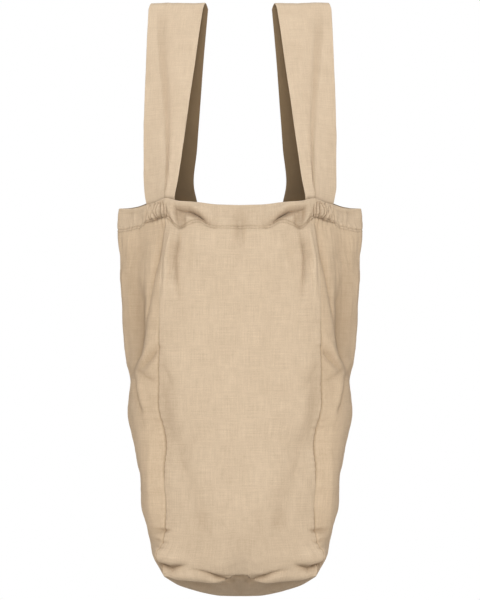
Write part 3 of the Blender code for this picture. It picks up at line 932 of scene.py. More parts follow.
@dataclass(frozen=True)
class HemRelief:
    """Relief of the hem, in metres: the step at its edge, its stitching and their puckers."""

    proud: float = 0.0007
    edge_width: float = 0.0016
    dip: float = 0.0009
    dip_reach: float = 0.0012
    pucker: float = 0.0010
    pucker_reach: float = 0.0055
    slant: float = 160
    ripple: Ripple = Ripple(0.0078, 3.1, 47)
    small_ripple: Ripple = Ripple(0.0047, 2.0, 83)
    small_share: float = 0.6
    calm: float = 0.35
    gathered: float = 0.65
    gathered_travel: float = 0.140
    gathered_reach: float = 0.022


@dataclass(frozen=True)
class Rumpling:
    """Random rumpling: coarse and fine all over, and streaks below the hem.

    Places are around the ring, rates are how fast the rumpling comes in, and hem_fade is the
    distance in metres below the hem over which the streaks do.
    """

    coarse: Crinkle = Crinkle(7, 0.120, 0.030, 0.0015)
    fine: Crinkle = Crinkle(11, 0.030, 0.009, 0.00022)
    streaks: Crinkle = Crinkle(5, 0.030, 0.008, 0.00060, 22, 2.2, 0.22)
    calm: float = 0.55
    lively: float = 0.45
    lively_place: float = 0.3
    streak_place: float = 0.9
    streak_rate: float = 4
    streak_end: float = 0.36
    streak_fade: float = 6
    hem_fade: float = 0.012
    base_rate: float = 5.0


@dataclass(frozen=True)
class BagBody:
    """The body's shape: sizes in metres, and its cloth as a surface of place and depth."""

    strap_drop: float = 0.251
    body_height: float = 0.488
    body_width: float = 0.304
    panel_width: float = 0.204
    gusset_width: float = 0.160
    front_bulge: float = 0.036
    back_bulge: float = 0.034
    base_sag: float = 0.023
    hem_height: float = 0.029
    stitch_inset: float = 0.0030
    swell_power: float = 2.3
    sag_power: float = 2.4
    flat_power: float = 1.2
    flat_start: float = 1.6
    flat_rate: float = 1.4
    mouth_fade: float = 6
    rim_fade: float = 14
    fold_reach: float = 0.18
    fold_gap: float = 0.016
    low_gap: float = 0.200
    low_start: float = 1.13
    nudge: float = 2e-3
    deepest: float = 1.9
    shades: Shades = Shades()
    seams: SeamRelief = SeamRelief()
    hem: HemRelief = HemRelief()
    rumpling: Rumpling = Rumpling()

    @property
    def wall_height(self) -> float:
        """Height of the walls, from the mouth to the base's rim."""
        return self.body_height - self.base_sag

    @property
    def half_panel(self) -> float:
        """Half of the front's width."""
        return self.panel_width / 2

    @property
    def half_gusset(self) -> float:
        """Half of a gusset's width."""
        return self.gusset_width / 2

    def section(self, name: str, down: Array) -> Array:
        """Read one column of the level sections."""
        return curve_through(SECTIONS, "down", name, np.minimum(down, 1.0))

    def pull(self, down: Array) -> Array:
        """How tight the upright seams are drawn at depths down the wall."""
        return curve_through(SEAM_PULLS, "down", "strength", np.minimum(down, 1.0))

    def outline(self, place: Array, down: Array) -> tuple:
        """Plan position at a place around the ring and a depth down the wall.

        The front and back swell by one less a power of the way from their middle to a seam.
        Each half of a gusset runs from its seam to the side fold, rounder as the table says.

        Args:
            place: Places around the ring, from -4 to 4.
            down: Depths, in shares of the wall's height.

        Returns:
            The x and y there.
        """
        around = np.abs(place)
        side = self.section("side", down) * self.body_width / 2
        seam = self.section("seam", down) * self.half_panel
        depth = self.section("depth", down) * self.half_gusset
        bulge = self.section("bulge", down)
        roundness = self.section("roundness", down)
        turn = SIDE_FOLD - np.clip(around, FRONT_SEAM, BACK_SEAM)
        across = np.where(around < FRONT_SEAM, around, np.minimum(BACK_MIDDLE - around, 1.0))
        swell = 1 - np.abs(across) ** self.swell_power
        on_gusset = (around >= FRONT_SEAM) & (around <= BACK_SEAM)
        gusset_x = seam + (side - seam) * (1 - np.abs(turn) ** roundness)
        x = np.where(on_gusset, gusset_x, seam * across)
        front_y = -depth - self.front_bulge * bulge * swell
        back_y = depth + self.back_bulge * bulge * swell
        y = np.where(on_gusset, -depth * turn, np.where(around < FRONT_SEAM, front_y, back_y))
        return np.sign(place) * x, y

    def level(self, place: Array, down: Array) -> Array:
        """Height at a place and depth: level rows, lifted at the mouth and at the base's rim.

        Args:
            place: Places around the ring, from -4 to 4.
            down: Depths, in shares of the wall's height.

        Returns:
            The z there.
        """
        around = np.abs(place)
        share = np.minimum(down, 1.0)
        mouth = curve_through(MOUTH_LIFTS, "place", "lift", around) * self.hem_height
        rim = curve_through(RIM_LIFTS, "place", "lift", around) * self.base_sag
        return (-self.strap_drop - share * self.wall_height
                + mouth * np.clip(1 - share, 0, 2) ** self.mouth_fade
                + rim * np.clip(share, 0, 1) ** self.rim_fade)

    def plain(self, place: Array, down: Array) -> Array:
        """The body without folds.

        Past 1, depths run in along the base to its middle, and it sags by a power of the way in
        that is flatter near the middle of the front.

        Args:
            place: Places around the ring.
            down: Depths, from 0 at the mouth to 2 at the middle of the base.

        Returns:
            The points.
        """
        place = wrap(place)
        x, y = self.outline(place, down)
        z = self.level(place, down)
        inward = np.clip(down - 1.0, 0.0, 1.0)
        lowest = -self.strap_drop - self.body_height
        flat = smooth(self.flat_start - self.flat_rate * np.abs(place))
        power = self.sag_power - (self.sag_power - self.flat_power) * flat
        z = lowest + (z - lowest) * (1 - inward) ** power
        return np.stack([x * (1 - inward), y * (1 - inward), z], axis=-1)

    def outward(self, surface: Callable, place: Array, down: Array, reach: float) -> Array:
        """Outward directions of a surface, halfway between both sides where it has a seam.

        Args:
            surface: A function of place and depth.
            place: Places around the ring.
            down: Depths down the wall.
            reach: How far around the ring each side is looked at.

        Returns:
            Unit vectors, across the mean directions around the ring and down the wall.
        """
        here = surface(place, down)
        along = (unit(surface(place + reach, down) - here)
                 + unit(here - surface(place - reach, down)))
        below = (unit(surface(place, down + self.nudge) - here)
                 + unit(here - surface(place, down - self.nudge)))
        return unit(np.cross(below, along))

    def edge_normals(self, place: Array, down: Array) -> Array:
        """Outward directions of the finished surface, for the edges of a piece."""
        return self.outward(self.shaped, place, down, self.nudge)

    def fold_rise(self, points: Array) -> Array:
        """Sum of the folds' rises at points of the plain body, in metres."""
        return self.fold_sum(points, lambda fold: fold.rise * MM)

    def fold_sum(self, points: Array, weight: Callable) -> Array:
        """Sum of the folds at points of the plain body, dying away towards the side fold.

        Args:
            points: The points.
            weight: A function that gives each fold's weight.

        Returns:
            The sum of the shapes times their weights.
        """
        across = np.abs(points[..., 0]) / MM
        below = -points[..., 2] / MM
        facing = np.where(points[..., 1] > 0, 1, -1)
        total = np.zeros(across.shape)
        for fold in FOLDS:
            if weight(fold):
                wanted = np.isin(facing, fold.faces)
                total += np.where(wanted, weight(fold) * fold.shape(across, below), 0.0)
        low = smooth(below * MM / self.body_height - self.low_start)
        return total * smooth(np.abs(points[..., 1]) / (self.fold_gap + self.low_gap * low))

    def hem_edge(self, place: Array) -> Array:
        """Depth of the hem's stitched edge, in shares of the wall's height."""
        depth = curve_through(HEM_EDGE, "place", "depth", np.abs(wrap(place)))
        return depth * MM / self.wall_height

    def below_hem(self, place: Array, down: Array) -> Array:
        """Distance below the hem's stitched edge, in metres."""
        return (down - self.hem_edge(place)) * self.wall_height

    def seam_distance(self, place: Array) -> Array:
        """Distance along the cloth to the nearest upright seam.

        Args:
            place: Places around the ring.

        Returns:
            The distances in metres.
        """
        around = np.abs(wrap(place))
        near_front = np.where(around < FRONT_SEAM, (FRONT_SEAM - around) * self.half_panel,
                              (around - FRONT_SEAM) * self.half_gusset)
        near_back = np.where(around > BACK_SEAM, (around - BACK_SEAM) * self.half_panel,
                             (BACK_SEAM - around) * self.half_gusset)
        return np.minimum(near_front, near_back)

    def cloth_place(self, place: Array, down: Array) -> Array:
        """Where a place lies on the cloth.

        Args:
            place: Places around the ring, from -4 to 4.
            down: Depths down the wall.

        Returns:
            Metres along the ring and metres down the wall.
        """
        around = np.abs(place)
        front = np.minimum(around, FRONT_SEAM) * self.half_panel
        gusset = np.clip(around - FRONT_SEAM, 0, BACK_SEAM - FRONT_SEAM) * self.half_gusset
        back = np.clip(around - BACK_SEAM, 0, None) * self.half_panel
        travel = np.sign(place) * (front + gusset + back)
        return np.stack([travel, down * self.wall_height], axis=-1)

    def crease(self, place: Array, down: Array) -> Array:
        """Painted shade of the cloth in its creases, stitching and seams, and over the base.

        Seams and rows of stitches are bells of the distance to them. The hem's edge is darker
        where the hem is drawn up beside the strap, and fainter beside the middle of the front.
        The base is darker all over, as painted shade of the underside.

        Args:
            place: Places around the ring.
            down: Depths down the wall.

        Returns:
            The values, from 0 to 1.
        """
        shades = self.shades
        # painted shade along the folds
        folded = self.fold_sum(self.plain(place, down), lambda fold: fold.shade)
        below = self.below_hem(place, down)
        # painted shade in the seam grooves, along the stitching and at the hem's edge
        seam = (shades.seam * self.pull(down) * bell(self.seam_distance(place), shades.line_reach)
                * smooth(below / shades.seam_start) * smooth((1.0 - down) * shades.seam_rate))
        stitched = shades.stitch * bell(below + self.stitch_inset, shades.line_reach)
        around = np.abs(wrap(place))
        from_middle = np.where(around > SIDE_FOLD, BACK_MIDDLE - around, around)
        drawn = bell(from_middle - shades.drawn_place, shades.drawn_reach)
        edge = (shades.edge + shades.drawn * drawn) * bell(below, shades.line_reach)
        shown = 1 - shades.faint * bell(around - shades.faint_place, shades.faint_reach)
        # painted shade: the whole base darker, as the underside in shade
        underside_shade = shades.base * smooth((down - 1.0) * shades.base_rate)
        return np.clip(folded + seam + stitched * shown + edge * shown + underside_shade, 0.0, 1.0)

    def seam_rise(self, place: Array, down: Array) -> Array:
        """Groove of the upright seams, with the small puckers that a seam draws up beside it.

        Args:
            place: Places around the ring.
            down: Depths down the wall.

        Returns:
            The heights in metres.
        """
        seams = self.seams
        away = self.seam_distance(place)
        fade = (smooth(self.below_hem(place, down) / seams.hem_fade)
                * smooth((1.0 - down) * seams.rim_rate) * self.pull(down))
        groove = -seams.groove_depth * bell(away, seams.groove_reach)
        wave = seams.ripple.wave(down * self.wall_height, seams.lag * np.abs(wrap(place)))
        pucker = seams.pucker_height * wave * bell(away - seams.pucker_away, seams.pucker_reach)
        return (groove + pucker) * fade

    def hem_rise(self, place: Array, down: Array) -> Array:
        """Dip of the stitching along the hem, and the puckers on both sides of it.

        The hem stands a little proud of the cloth below, as an eased step at its edge. The
        puckers are waves along the hem that die away from the stitching.

        Args:
            place: Places around the ring.
            down: Depths down the wall.

        Returns:
            The heights in metres.
        """
        hem = self.hem
        above = -self.below_hem(place, down)
        travel = np.abs(self.cloth_place(wrap(place), down)[..., 0])
        proud = hem.proud * smooth(above / hem.edge_width)
        stitched = -hem.dip * bell(above - self.stitch_inset, hem.dip_reach)
        beside = bell(above - self.stitch_inset, hem.pucker_reach)
        wave = hem.ripple.wave(travel, above * hem.slant)
        wave = wave + hem.small_share * hem.small_ripple.wave(travel)
        strong = hem.calm + hem.gathered * bell(travel - hem.gathered_travel, hem.gathered_reach)
        return proud + stitched + hem.pucker * strong * wave * beside

    def crinkle_rise(self, place: Array, down: Array) -> Array:
        """Random rumpling, the same on both halves, quieter over the middle of the front.

        Around the walls it follows the ring; on the base it follows the plan, so that it doesn't
        draw together at the middle. Below the hem, beside the straps, it runs in streaks.

        Args:
            place: Places around the ring.
            down: Depths down the wall.

        Returns:
            The heights in metres.
        """
        rumpling = self.rumpling
        around = np.abs(wrap(place))
        cloth = self.cloth_place(around, np.minimum(down, 1.0))
        plan = self.plain(place, down)
        inside = smooth((down - 1.0) * rumpling.base_rate)
        quiet = rumpling.calm + rumpling.lively * smooth(around - rumpling.lively_place)
        streaked = (smooth((around - rumpling.streak_place) * rumpling.streak_rate)
                    * smooth((rumpling.streak_end - down) * rumpling.streak_fade)
                    * smooth(self.below_hem(place, down) / rumpling.hem_fade))
        rise = rumpling.streaks.rise(cloth[..., 0], cloth[..., 1]) * streaked
        for crinkle in (rumpling.coarse, rumpling.fine):
            on_wall = crinkle.rise(cloth[..., 0], cloth[..., 1]) * quiet
            on_base = crinkle.rise(np.abs(plan[..., 0]), plan[..., 1])
            rise = rise + on_wall + (on_base - on_wall) * inside
        return rise

    def shaped(self, place: Array, down: Array) -> Array:
        """The body's middle surface with its folds, seams and rumpling.

        Args:
            place: Places around the ring.
            down: Depths, from 0 at the mouth to 2 at the middle of the base.

        Returns:
            The points.
        """
        points = self.plain(place, down)
        held = np.minimum(down, self.deepest)
        normals = self.outward(self.plain, place, held, self.fold_reach)
        fade = np.clip(2 - down, 0.0, 1.0)
        rise = (self.fold_rise(points) + self.crinkle_rise(place, down)) * fade
        rise = rise + self.seam_rise(place, down) + self.hem_rise(place, down)
        return points + normals * rise[..., None]


@dataclass(frozen=True)
class Cut:
    """Flat size of one cloth before it was sewn, in metres, and its area in square metres."""

    width: float
    length: float
    area: float
    held: str = "hung"


def dress(piece: bpy.types.Object, node: str) -> bpy.types.Object:
    """Args:
        piece: The cloth.
        node: The solid that it stands for.

    Returns:
        The same piece.
    """
    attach(piece, "root")
    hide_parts(node)
    return piece


@dataclass(frozen=True)
class PanelSpan:
    """One panel: its solid, its first and last place around the ring, its columns and slot."""

    node: str
    start: float
    end: float
    columns: int
    slot: str


# the gussets take the side linen, the face linen painted a little darker and warmer as shade
PANELS = (
    PanelSpan("front_panel", -FRONT_SEAM, FRONT_SEAM, 196, "face_linen"),
    PanelSpan("right_gusset", FRONT_SEAM, BACK_SEAM, 120, "side_linen"),
    PanelSpan("back_panel", BACK_SEAM, FULL_RING - BACK_SEAM, 140, "face_linen"),
    PanelSpan("left_gusset", -BACK_SEAM, -FRONT_SEAM, 120, "side_linen"),
)


@dataclass
class BodyPanels:
    """Front, back and gussets: four cloths between the hem and the base."""

    body: BagBody
    wall: float = 0.0012
    rows: int = 230
    column_crowd: float = 0.55
    row_crowd: float = 0.35

    def build(self, finishes: dict) -> list:
        """Build the four cloths, each from the material of its slot."""
        return [self.build_panel(panel, finishes[panel.slot]) for panel in PANELS]

    def build_panel(self, panel: PanelSpan, material: Material) -> bpy.types.Object:
        """Build one cloth as a closed wall that takes the place of its node.

        Args:
            panel: The panel's row of the table.
            material: Its finish.

        Returns:
            The panel's object.
        """
        body = self.body
        places = crowded(panel.start, panel.end, panel.columns, self.column_crowd)
        shares = crowded(0.0, 1.0, self.rows, self.row_crowd)[:, None]
        hem = body.hem_edge(places)[None, :]
        down = hem + (1.0 - hem) * shares
        place = np.broadcast_to(places, down.shape)
        middle = body.shaped(place, down)
        normals = grid_normals(middle)
        for edge in ((slice(None), 0), (slice(None), -1), (0, slice(None)), (-1, slice(None))):
            normals[edge] = body.edge_normals(place[edge], down[edge])
        piece = cloth_wall(f"{panel.node}_cloth", middle, normals, self.wall,
                           body.cloth_place(place, down), body.crease(place, down), material)
        return dress(piece, panel.node)


@dataclass
class BasePanel:
    """The sagging underside."""

    body: BagBody
    wall: float = 0.0012
    rings: int = 46
    columns: int = 300
    innermost: float = 0.985

    def build(self, finishes: dict) -> bpy.types.Object:
        """Build the base as rings that close on its middle, with a point on each face.

        Args:
            finishes: The material of each slot of the record.

        Returns:
            The base's object.
        """
        places = np.linspace(-BACK_MIDDLE, BACK_MIDDLE, self.columns, endpoint=False)
        downs = 1 + np.linspace(0.0, self.innermost, self.rings)
        place, down = np.meshgrid(places, downs)
        middle = self.body.shaped(place, down)
        normals = grid_normals(middle, closed=True)
        normals[0] = self.body.edge_normals(place[0], down[0])
        cloth = middle[..., :2].copy()
        crease = self.body.crease(place, down)
        grid = middle.shape[:2]
        faces = [Surface(middle + normals * self.wall / 2, cloth, np.zeros(grid), crease),
                 Surface(middle - normals * self.wall / 2, cloth, np.ones(grid), crease)]
        tips = [Surface(face.points[-1].mean(axis=0)[None, None],
                        face.cloth[-1].mean(axis=0)[None, None],
                        face.reverse[-1][:1][None], face.crease[-1][:1][None]) for face in faces]
        surface, numbers = joined(faces + tips)
        front, rear = (np.hstack([each, each[:, :1]]) for each in numbers[:2])
        rim = np.stack([front[0], rear[0]])
        squares = np.concatenate([quads(front), quads(rear)[:, ::-1], quads(rim)[:, ::-1]])
        fans = []
        for ring, tip, order in ((front[-1], numbers[2], 1), (rear[-1], numbers[3], -1)):
            fan = np.stack([ring[:-1], np.full(len(ring) - 1, tip[0, 0]), ring[1:]], axis=-1)
            fans.append(fan[:, ::order])
        piece = make_piece("base_panel_cloth", surface, squares, finishes["face_linen"],
                           np.concatenate(fans))
        return dress(piece, "base_panel")


@dataclass(frozen=True)
class HemRun:
    """One stretch of places around the hem, and the columns in it."""

    start: float
    end: float
    columns: int


HEM_RUNS = (
    HemRun(0.00, 0.24, 22), HemRun(0.24, 0.96, 120), HemRun(0.96, 1.50, 120),
    HemRun(1.50, 2.00, 40), HemRun(2.00, 2.50, 30), HemRun(2.50, 3.07, 90),
    HemRun(3.07, 4.00, 56),
)


@dataclass
class MouthHem:
    """The turned hem: a doubled band around the mouth with a rounded upper edge."""

    body: BagBody
    wall: float = 0.0024
    panel_wall: float = 0.0012
    rows: int = 38
    edge_steps: int = 5
    map_gap: float = 0.0004
    place_digits: int = 9

    def places(self) -> Array:
        """Places around the ring, close together where the hem is gathered.

        Returns:
            Places from the middle of the front, around the right side, back to the front.
        """
        runs = [np.linspace(run.start, run.end, run.columns, endpoint=False) for run in HEM_RUNS]
        half = np.concatenate(runs + [[BACK_MIDDLE - self.map_gap]])
        ring = np.concatenate([half, FULL_RING - half[1:], [BACK_MIDDLE]])
        return np.unique(np.round(ring, self.place_digits))

    def build(self, finishes: dict) -> bpy.types.Object:
        """Build the band as a closed ring.

        Args:
            finishes: The material of each slot of the record.

        Returns:
            The hem's object.
        """
        body = self.body
        places = self.places()
        top = self.wall / 2 / body.wall_height
        shares = np.linspace(0.0, 1.0, self.rows)[:, None]
        down = top + (body.hem_edge(places)[None, :] - top) * shares
        place = np.broadcast_to(places, down.shape)
        middle = body.shaped(place, down)
        normals = grid_normals(middle, closed=True)
        normals[-1] = body.edge_normals(place[-1], down[-1])
        middle = middle - normals * (self.wall - self.panel_wall) / 2
        piece = cloth_wall("mouth_hem_cloth", middle, normals, self.wall,
                           body.cloth_place(wrap(place), down), body.crease(place, down),
                           finishes["hem_linen"], closed=True, rounded=self.edge_steps)
        return dress(piece, "mouth_hem")


FRONT_RUN = (
    Run(0.000, 0.787, 1.000, 0.240, 0.105, 0.06),
    Run(0.120, 0.817, 0.955, 0.260, 0.105, 0.50),
    Run(0.264, 0.847, 0.906, 0.330, 0.100, 0.95),
    Run(0.450, 0.888, 0.835, 0.450, 0.088, 1.00),
    Run(0.639, 0.925, 0.758, 0.575, 0.065, 0.90),
    Run(0.800, 0.951, 0.675, 0.640, 0.040, 0.62),
    Run(0.936, 0.974, 0.597, 0.675, 0.034, 0.40),
    Run(1.000, 0.986, 0.530, 0.690, 0.034, 0.28),
)

BACK_RUN = (
    Run(0.000, 0.7235, 1.00, 0.40, 0.16, 0.04),
    Run(0.264, 0.7665, 0.96, 0.45, 0.15, 0.28),
    Run(0.490, 0.7870, 0.90, 0.50, 0.14, 0.40),
    Run(0.710, 0.8125, 0.86, 0.52, 0.14, 0.36),
    Run(0.950, 0.8335, 0.82, 0.54, 0.14, 0.20),
    Run(1.000, 0.7980, 0.80, 0.55, 0.14, 0.10),
)


@dataclass(frozen=True)
class StrapShades:
    """Painted shade on a strap along its fold and behind the hem, and how far that reaches."""

    line: float = 0.55
    line_inset: float = 0.01
    line_reach: float = 0.020
    line_start: float = 0.35
    line_rate: float = 2
    band: float = 0.25
    band_edge: float = 0.03
    band_fade: float = 0.12
    band_rate: float = 2
    contact: float = 0.75
    contact_reach: float = 0.0022


@dataclass
class ShoulderStrap:
    """One strap: from the front of the mouth, over the bar, to the back of the mouth."""

    body: BagBody
    side: Side
    strap_width: float = 0.066
    wall: float = 0.0020
    tuck: float = 0.022
    hang_radius: float = 0.006
    step: float = 0.0075
    step_share: float = 0.35
    seat_inset: float = 0.0042
    seat_power: int = 24
    seat_rate: float = 14
    curl: float = 0.0012
    curl_rate: float = 21
    curl_phase: float = 1.0
    curl_power: int = 3
    curl_start: float = 6
    cloth_step: float = 0.3
    rumple: Crinkle = Crinkle(23, 0.060, 0.012, 0.0005)
    shades: StrapShades = StrapShades()
    columns: int = 60
    run_rows: int = 120
    bend_rows: int = 16
    tuck_rows: int = 10
    edge_steps: int = 5

    def read(self, name: str, share: Array, front: bool) -> Array:
        """Read one column of the run in front or behind."""
        return curve_through(FRONT_RUN if front else BACK_RUN, "down", name, share)

    def seat_place(self, across: Array, front: bool) -> Array:
        """Place around the mouth that each point across the strap's end is sewn to.

        Args:
            across: Places across the strap, from its inner edge at -1 to its outer edge at 1.
            front: True for the end in front.

        Returns:
            The places around the ring.
        """
        run = FRONT_RUN[-1] if front else BACK_RUN[-1]
        x = run.middle * self.body.half_panel + across * run.width * self.strap_width / 2
        seam = SECTIONS[0].seam * self.body.half_panel
        side = SECTIONS[0].side * self.body.body_width / 2
        on_gusset = np.clip((x - seam) / (side - seam), 0.0, 1.0)
        place = np.where(x < seam, x / seam, FRONT_SEAM + on_gusset)
        return place if front else BACK_MIDDLE - place

    def seat(self, across: Array, down: Array, front: bool) -> Array:
        """Middle of the sewn end behind the hem.

        Args:
            across: Places across the strap.
            down: Depths down the wall.
            front: True for the end in front.

        Returns:
            The points.
        """
        body = self.body
        place = self.seat_place(across, front)
        points = body.plain(place, down)
        inset = body.fold_rise(points) - self.seat_inset
        return points + body.outward(body.plain, place, down, body.fold_reach) * inset[..., None]

    def run(self, across: Array, share: Array, front: bool) -> Array:
        """Middle surface of one run.

        The run goes straight from the bar to its seat. Across it, a fold steps back behind its
        outer part, as an eased step at the table's place, width and depth.

        Args:
            across: Places across the strap.
            share: Shares of the way, 0 at the bar and 1 at the mouth.
            front: True for the run in front.

        Returns:
            The points.
        """
        face = -1 if front else 1
        width = self.read("width", share, front) * self.strap_width
        x = self.read("middle", share, front) * self.body.half_panel + across * width / 2
        seat = self.seat(across, np.zeros_like(across), front)
        x = x + (seat[..., 0] - x) * share ** self.seat_power
        top_y = face * (self.hang_radius + self.wall / 2)
        into = (1 - across) / 2 - self.read("step_place", share, front)
        depth = self.read("step_depth", share, front) * self.step
        spread = 2 * self.read("step_width", share, front)
        back = smooth(into / spread + 0.5) - self.step_share
        fade = smooth((1 - share) * self.seat_rate)
        y = top_y + (seat[..., 1] - top_y) * share - face * depth * back * fade
        wave = self.curl * np.sin(share * self.curl_rate + self.curl_phase)
        curl = wave * np.abs(across) ** self.curl_power * smooth(share * self.curl_start) * fade
        z = -self.hang_radius + (seat[..., 2] + self.hang_radius) * share
        return np.stack([x, y - face * curl, z], axis=-1)

    def bend(self, across: Array, turn: Array) -> Array:
        """Middle surface of the bend over the bar.

        Args:
            across: Places across the strap.
            turn: Shares of the half turn, 0 in front and 1 behind.

        Returns:
            The points.
        """
        front = self.run(across, np.zeros_like(across), True)
        back = self.run(across, np.zeros_like(across), False)
        angle = math.pi * turn
        x = front[..., 0] + (back[..., 0] - front[..., 0]) * turn
        y = front[..., 1] + (back[..., 1] - front[..., 1]) * (1 - np.cos(angle)) / 2
        z = -self.hang_radius + (self.hang_radius + self.wall / 2) * np.sin(angle)
        return np.stack([x, y, z], axis=-1)

    def grid(self) -> tuple:
        """Places across the strap, from its outer edge in, and shares from the mouth up."""
        return (np.linspace(1.0, -1.0, self.columns + 1)[:, None],
                np.linspace(1.0, 0.0, self.run_rows + 1)[None, :])

    def middle(self) -> Array:
        """Middle surface of the whole strap.

        Returns:
            Its points, rows across it from its outer edge in, columns along it.
        """
        across, shares = self.grid()
        deep = self.tuck / self.body.wall_height
        tucks = np.linspace(deep, 0.0, self.tuck_rows, endpoint=False)[None, :]
        turns = np.linspace(0.0, 1.0, self.bend_rows + 1)[None, 1:-1]
        return np.concatenate([
            self.seat(*np.broadcast_arrays(across, tucks), True),
            self.run(*np.broadcast_arrays(across, shares), True),
            self.bend(*np.broadcast_arrays(across, turns)),
            self.run(*np.broadcast_arrays(across, shares[:, ::-1]), False),
            self.seat(*np.broadcast_arrays(across, tucks[:, ::-1]), False),
        ], axis=1)

    def run_crease(self, across: Array, share: Array, front: bool) -> Array:
        """Painted shade of one run along its fold and where it goes in behind the hem.

        Args:
            across: Places across the strap, from its inner edge at -1 to its outer edge at 1.
            share: Shares of the way from the bar to the mouth.
            front: True for the run in front.

        Returns:
            The values, from 0 to 1.
        """
        shades = self.shades
        spread = self.read("step_width", share, front)
        depth = self.read("step_depth", share, front)
        into = (1 - across) / 2 - self.read("step_place", share, front) + spread
        # painted shade along the run's fold line
        line = (shades.line * bell(into - shades.line_inset, shades.line_reach)
                * smooth((share - shades.line_start) * shades.line_rate))
        # painted shade on the stepped-back band beside the fold
        past = smooth((into - 2 * spread) / shades.band_fade + 0.5)
        band = shades.band * smooth(into / shades.band_edge) * (1 - past)
        above = (1 - share) * self.body.strap_drop
        # painted shade where the strap meets the hem
        contact = shades.contact * bell(above, shades.contact_reach)
        shown = np.minimum(depth * shades.band_rate, 1.0)
        return np.clip(line + band * shown + contact, 0.0, 1.0)

    def creases(self) -> Array:
        """Painted shade at each point of the strap.

        Returns:
            The values, in the order of the middle surface.
        """
        across, shares = self.grid()
        # the ends behind the hem are painted in shade
        hidden = np.full((self.columns + 1, self.tuck_rows), self.shades.contact)
        return np.concatenate([
            hidden,
            self.run_crease(across, shares, True),
            np.zeros((self.columns + 1, self.bend_rows - 1)),
            self.run_crease(across, shares[:, ::-1], False),
            hidden,
        ], axis=1)

    def build(self, finishes: dict) -> bpy.types.Object:
        """Build the strap with rounded folded edges.

        Args:
            finishes: The material of each slot of the record.

        Returns:
            The strap's object.
        """
        middle = self.middle()
        lengths = np.linalg.norm(np.diff(middle, axis=1), axis=-1).mean(axis=0)
        travel = np.concatenate([[0.0], np.cumsum(lengths)])
        across = np.linspace(0.0, self.strap_width, middle.shape[0])
        cloth = np.stack(np.meshgrid(travel, across), axis=-1)[..., ::-1]
        cloth = cloth + np.array([self.cloth_step * (self.side.value + 2), 0.0])
        rumple = self.rumple.rise(cloth[..., 0], cloth[..., 1])
        middle = middle - grid_normals(middle) * rumple[..., None]
        normals = -grid_normals(middle)
        crease = self.creases()
        if self.side is Side.LEFT:
            mirror = np.array([-1, 1, 1])
            middle, normals = (middle * mirror)[::-1], (normals * mirror)[::-1]
            cloth, crease = cloth[::-1], crease[::-1]
        node = f"{self.side.name.lower()}_strap"
        piece = cloth_wall(f"{node}_cloth", middle, normals, self.wall, cloth, crease,
                           finishes["strap_linen"], rounded=self.edge_steps)
        return dress(piece, node)


@dataclass
class Stitching:
    """The row of small stitches along the hem."""

    body: BagBody
    pitch: float = 0.0034
    length: float = 0.0024
    radius: float = 0.00028
    lift: float = 0.0006
    sunk_share: float = 0.55
    arch_share: float = 0.5
    arch_power: float = 0.5
    thin: float = 0.35
    full: float = 0.65
    full_power: float = 0.4
    line_points: int = 6001
    rings: int = 6
    sides: int = 6

    def build(self, thread: Material) -> bpy.types.Object:
        """Build all stitches as one joined mesh of small rounded strands.

        Each stitch is a strand of rings between two points of the stitching line, sunk at both
        ends into the cloth, and closed by a point at each end.

        Args:
            thread: The thread's material.

        Returns:
            The stitches' object.
        """
        places = np.linspace(-BACK_MIDDLE, BACK_MIDDLE, self.line_points)
        downs = self.body.hem_edge(places) - self.body.stitch_inset / self.body.wall_height
        line = self.body.shaped(places, downs)
        outward = self.body.edge_normals(places, downs)
        steps = np.linalg.norm(np.diff(line, axis=0), axis=-1)
        travel = np.concatenate([[0.0], np.cumsum(steps)])
        starts = np.arange(0.0, travel[-1] - self.length, self.pitch)
        shares = np.linspace(0.0, 1.0, self.rings)
        at = starts[:, None] + shares[None, :] * self.length
        centre, normal = (np.stack([np.interp(at, travel, part) for part in values.T], axis=-1)
                          for values in (line, outward))
        normal = unit(normal)
        arch = np.sin(math.pi * shares)[None, :, None]
        raised = (self.lift * self.sunk_share
                  + self.lift * self.arch_share * arch ** self.arch_power)
        centre = centre + normal * raised
        beside = unit(np.cross(normal, unit(np.gradient(centre, axis=1))))
        turns = np.linspace(0, 2 * math.pi, self.sides, endpoint=False)[None, None, :, None]
        thick = self.radius * (self.thin + self.full * arch[..., None] ** self.full_power)
        ring = centre[:, :, None] + thick * (normal[:, :, None] * np.cos(turns)
                                             + beside[:, :, None] * np.sin(turns))
        numbers = np.arange(ring[..., 0].size).reshape(ring.shape[:3])
        loop = np.concatenate([numbers, numbers[:, :, :1]], axis=2)
        walls = np.stack([loop[:, :-1, :-1], loop[:, :-1, 1:], loop[:, 1:, 1:], loop[:, 1:, :-1]],
                         axis=-1).reshape(-1, 4)
        count = len(starts)
        tips = numbers.size + np.arange(2 * count).reshape(count, 2)
        ends = [np.stack([loop[:, end, first], loop[:, end, second],
                          np.broadcast_to(tips[:, [end]], (count, self.sides))], axis=-1)
                for end, first, second in ((0, slice(1, None), slice(None, -1)),
                                           (-1, slice(None, -1), slice(1, None)))]
        points = np.concatenate([ring.reshape(-1, 3), centre[:, [0, -1]].reshape(-1, 3)])
        along = np.broadcast_to(at[:, :, None], ring.shape[:3])
        around = np.broadcast_to(np.linspace(0, 1, self.sides)[None, None, :], ring.shape[:3])
        on_map = np.stack([along.reshape(-1), around.reshape(-1)], axis=-1)
        plain = np.zeros(len(points))
        surface = Surface(points, np.concatenate([on_map, np.zeros((2 * count, 2))]), plain, plain)
        piece = make_piece("hem_stitches", surface, walls, thread,
                           np.concatenate([end.reshape(-1, 3) for end in ends]))
        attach(piece, "root")
        return piece


@dataclass(frozen=True)
class Lamp:
    """One square soft light: where it hangs and its size in metres, its watts and its colour."""

    name: str
    place: tuple
    size: float
    power: float
    tint: tuple = WHITE


